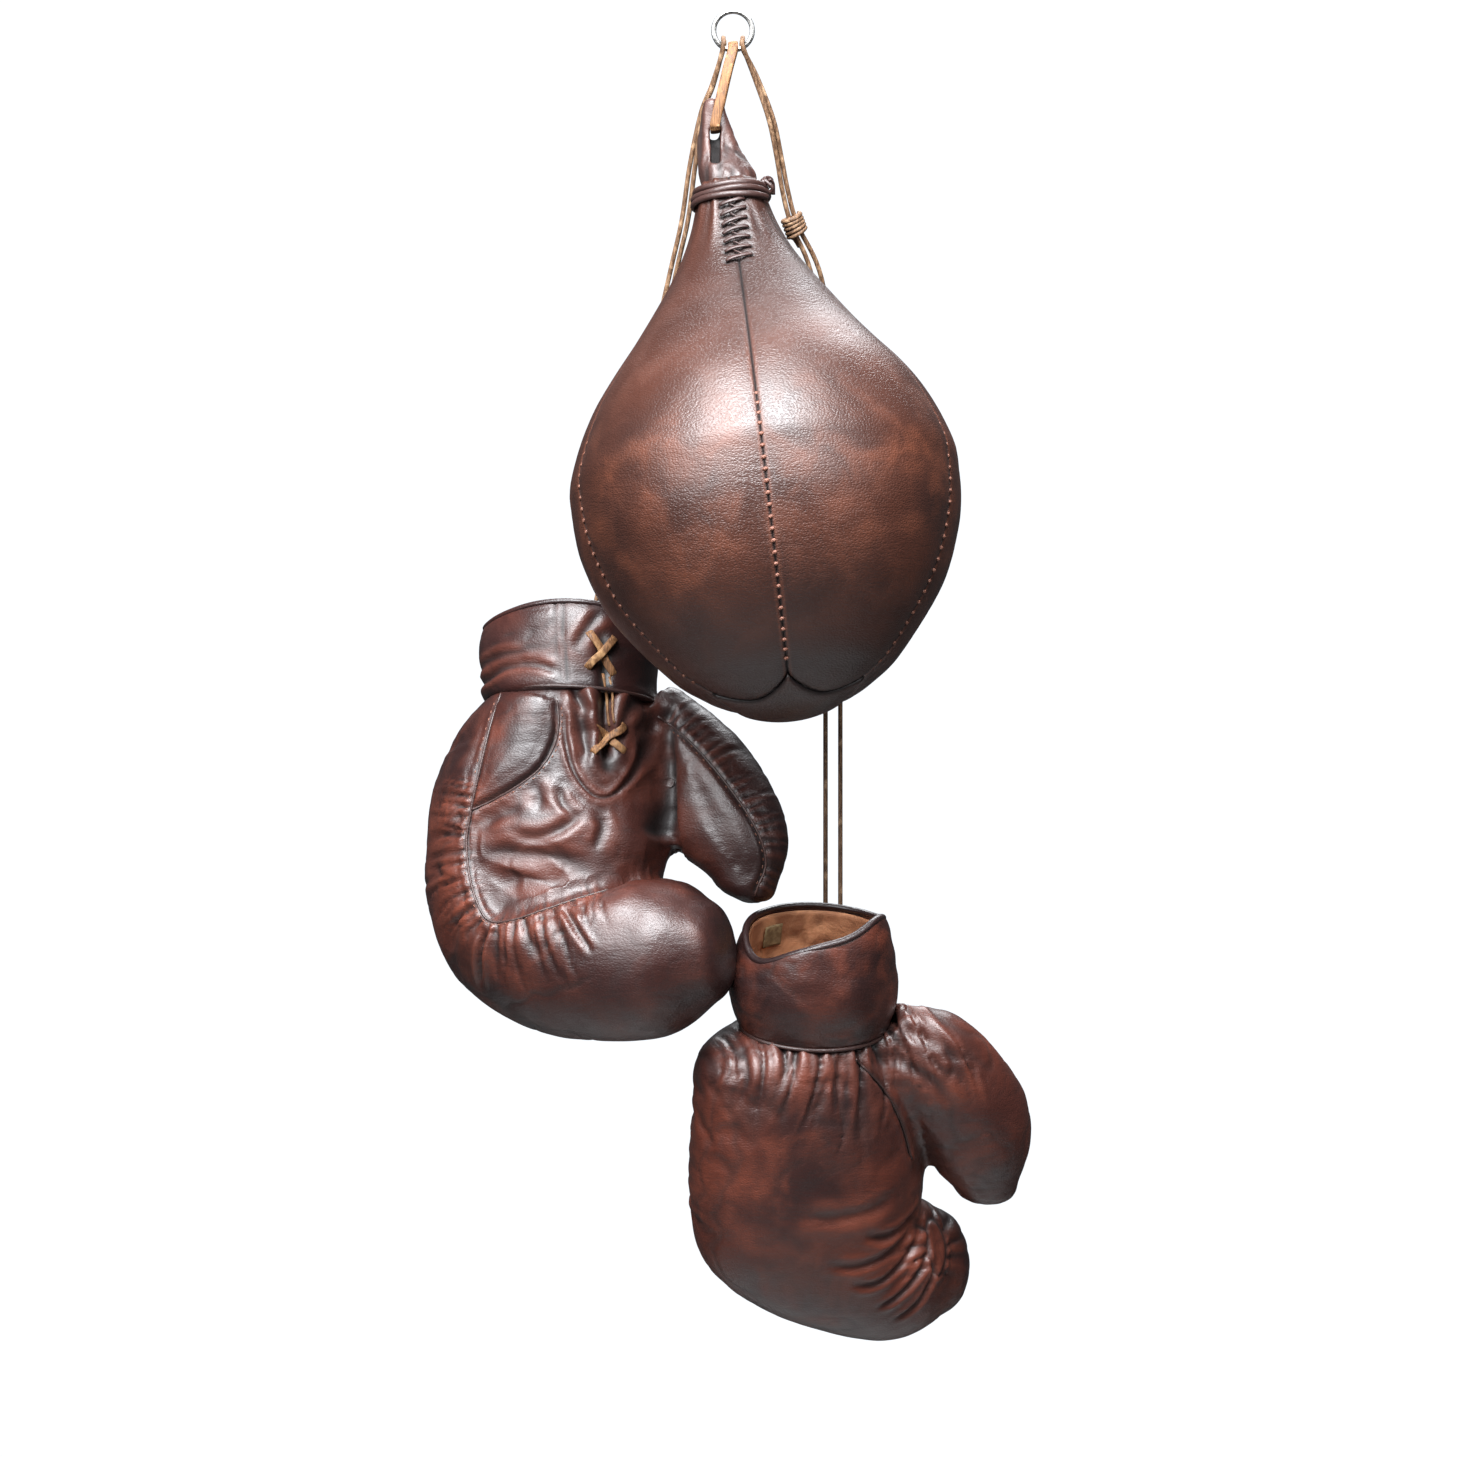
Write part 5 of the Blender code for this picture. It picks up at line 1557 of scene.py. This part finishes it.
def build_welts(side, matrix, body):
    """Thin piping in the palm's, patch's and thumb's seams, and the row of stitches beside each."""
    cords, places, alongs, ups = [], [], [], []
    for line, face in (
        (PALM_SEAM, "palm"), (PATCH_SEAM, "palm"), (THUMB_SEAM, "palm"), (BACK_THUMB_SEAM, "back")
    ):
        flat = catmull(line, 8)
        points, normals = body.line(flat, face, 0.25)
        cords.append(sweep(settled(points), round_outline(0.75, 0.75, 8)))
        if face == "back":
            continue
        for k in range(3, len(points) - 3, 2):
            along = points[k + 1] - points[k - 1]
            side_way = np.cross(along, normals[k])
            side_way /= np.linalg.norm(side_way)
            hit = body.tree.find_nearest(Vector(points[k] + side_way * 2.6))
            places.append(np.array(hit[0]) + 0.1 * normals[k])
            alongs.append(along)
            ups.append(normals[k])
    stitches = beads(places, alongs, ups, GLOVE_STITCH)
    for name, shape, material in (("welts", joined(cords), DARK_THONG), ("stitches", stitches, SEAM_THREAD)):
        piece(f"{side}_seam_{name}", shape, matrix, material, f"{side}_glove", "oxblood_leather")


# Each cross's row, middle and the reach of its two straps, and how high these lie.
LACE_CROSSES = (
    ("upper", (39, -41), ((7.0, 14.5), (7.5, 11.0))),
    ("lower", (43, -96), ((9.0, 8.5), (8.0, 10.5))),
)
LACE_LIFTS = (2.4, 4.2)
SLIT_RUNS = (((39, -54), (42, -87), 0.6, 0.9), ((43, -56), (46, -86), 0.4, 0.8))


def strap(body, start, stop, lift, half_width=2.5, sink=1.6):
    """A flat lace from hole to hole over the skin."""
    share = np.linspace(0, 1, 15)
    flat = np.array(start) + (np.array(stop) - start) * share[:, None]
    flat[:, 0] += 0.6 * np.sin(math.pi * share * 2)
    rise = lift * np.sin(math.pi * share) ** 0.5 - sink * (1 - np.sin(math.pi * share) ** 0.4)
    points, normals = body.line(flat, "palm")
    points = settled(points, 6) + settled(normals, 6) * rise[:, None]
    return sweep(points, strap_outline(half_width, 0.75, 12), settled(normals, 6))


def build_laces(side, matrix, body):
    """The two crosses of tan lace over the wrist slit, and the lace that runs between them."""
    for row, (u, w), reach in LACE_CROSSES:
        parts = []
        for (across, up), lift, flip in zip(reach, LACE_LIFTS, (1, -1)):
            parts.append(strap(body, (u - flip * across, w + up), (u + flip * across, w - up), lift))
        piece(
            f"{side}_{row}_lace", joined(parts), matrix, TAN_LACE, f"{side}_glove", "tan_leather",
            (f"{side}_{row}_lace_cross",),
        )
    runs = [strap(body, *run, 0.0) for run in SLIT_RUNS]
    piece(f"{side}_slit_lace", joined(runs), matrix, TAN_LACE, f"{side}_glove", "tan_leather")


def build_label(matrix):
    """A blank woven label sewn inside the right cuff's far wall."""
    glove = GLOVES["right"]
    rows, columns = 9, 11
    outer, inner = [], []
    for r in range(rows):
        for grid, depth in ((outer, -8.2), (inner, -7.5)):
            ring = cuff_ring("right", glove, 0.22 + 0.46 * r / (rows - 1), depth, 720)
            grid.append(ring[[204 + round(4.2 * c) for c in range(columns)]])
    shape = walled_grid(np.array(outer), np.array(inner))
    piece("blank_label", shape, matrix, LABEL, "right_glove", "lining", ("right_cuff_label",))


def build_glove(side):
    glove = GLOVES[side]
    matrix = glove_matrix(glove)
    mitt = build_mitt(side, glove, matrix)
    cuff = build_cuff(side, glove, matrix)
    build_lining(side, glove, matrix)
    build_piping(side, glove, matrix)
    body = Skin([mitt, cuff], glove["palm"])
    build_welts(side, matrix, body)
    build_laces(side, matrix, body)


def build_gloves():
    for side in GLOVES:
        build_glove(side)
    build_label(glove_matrix(GLOVES["right"]))


build_camera()
build_cords()
build_light()
build_floor()
build_bag()
build_gloves()
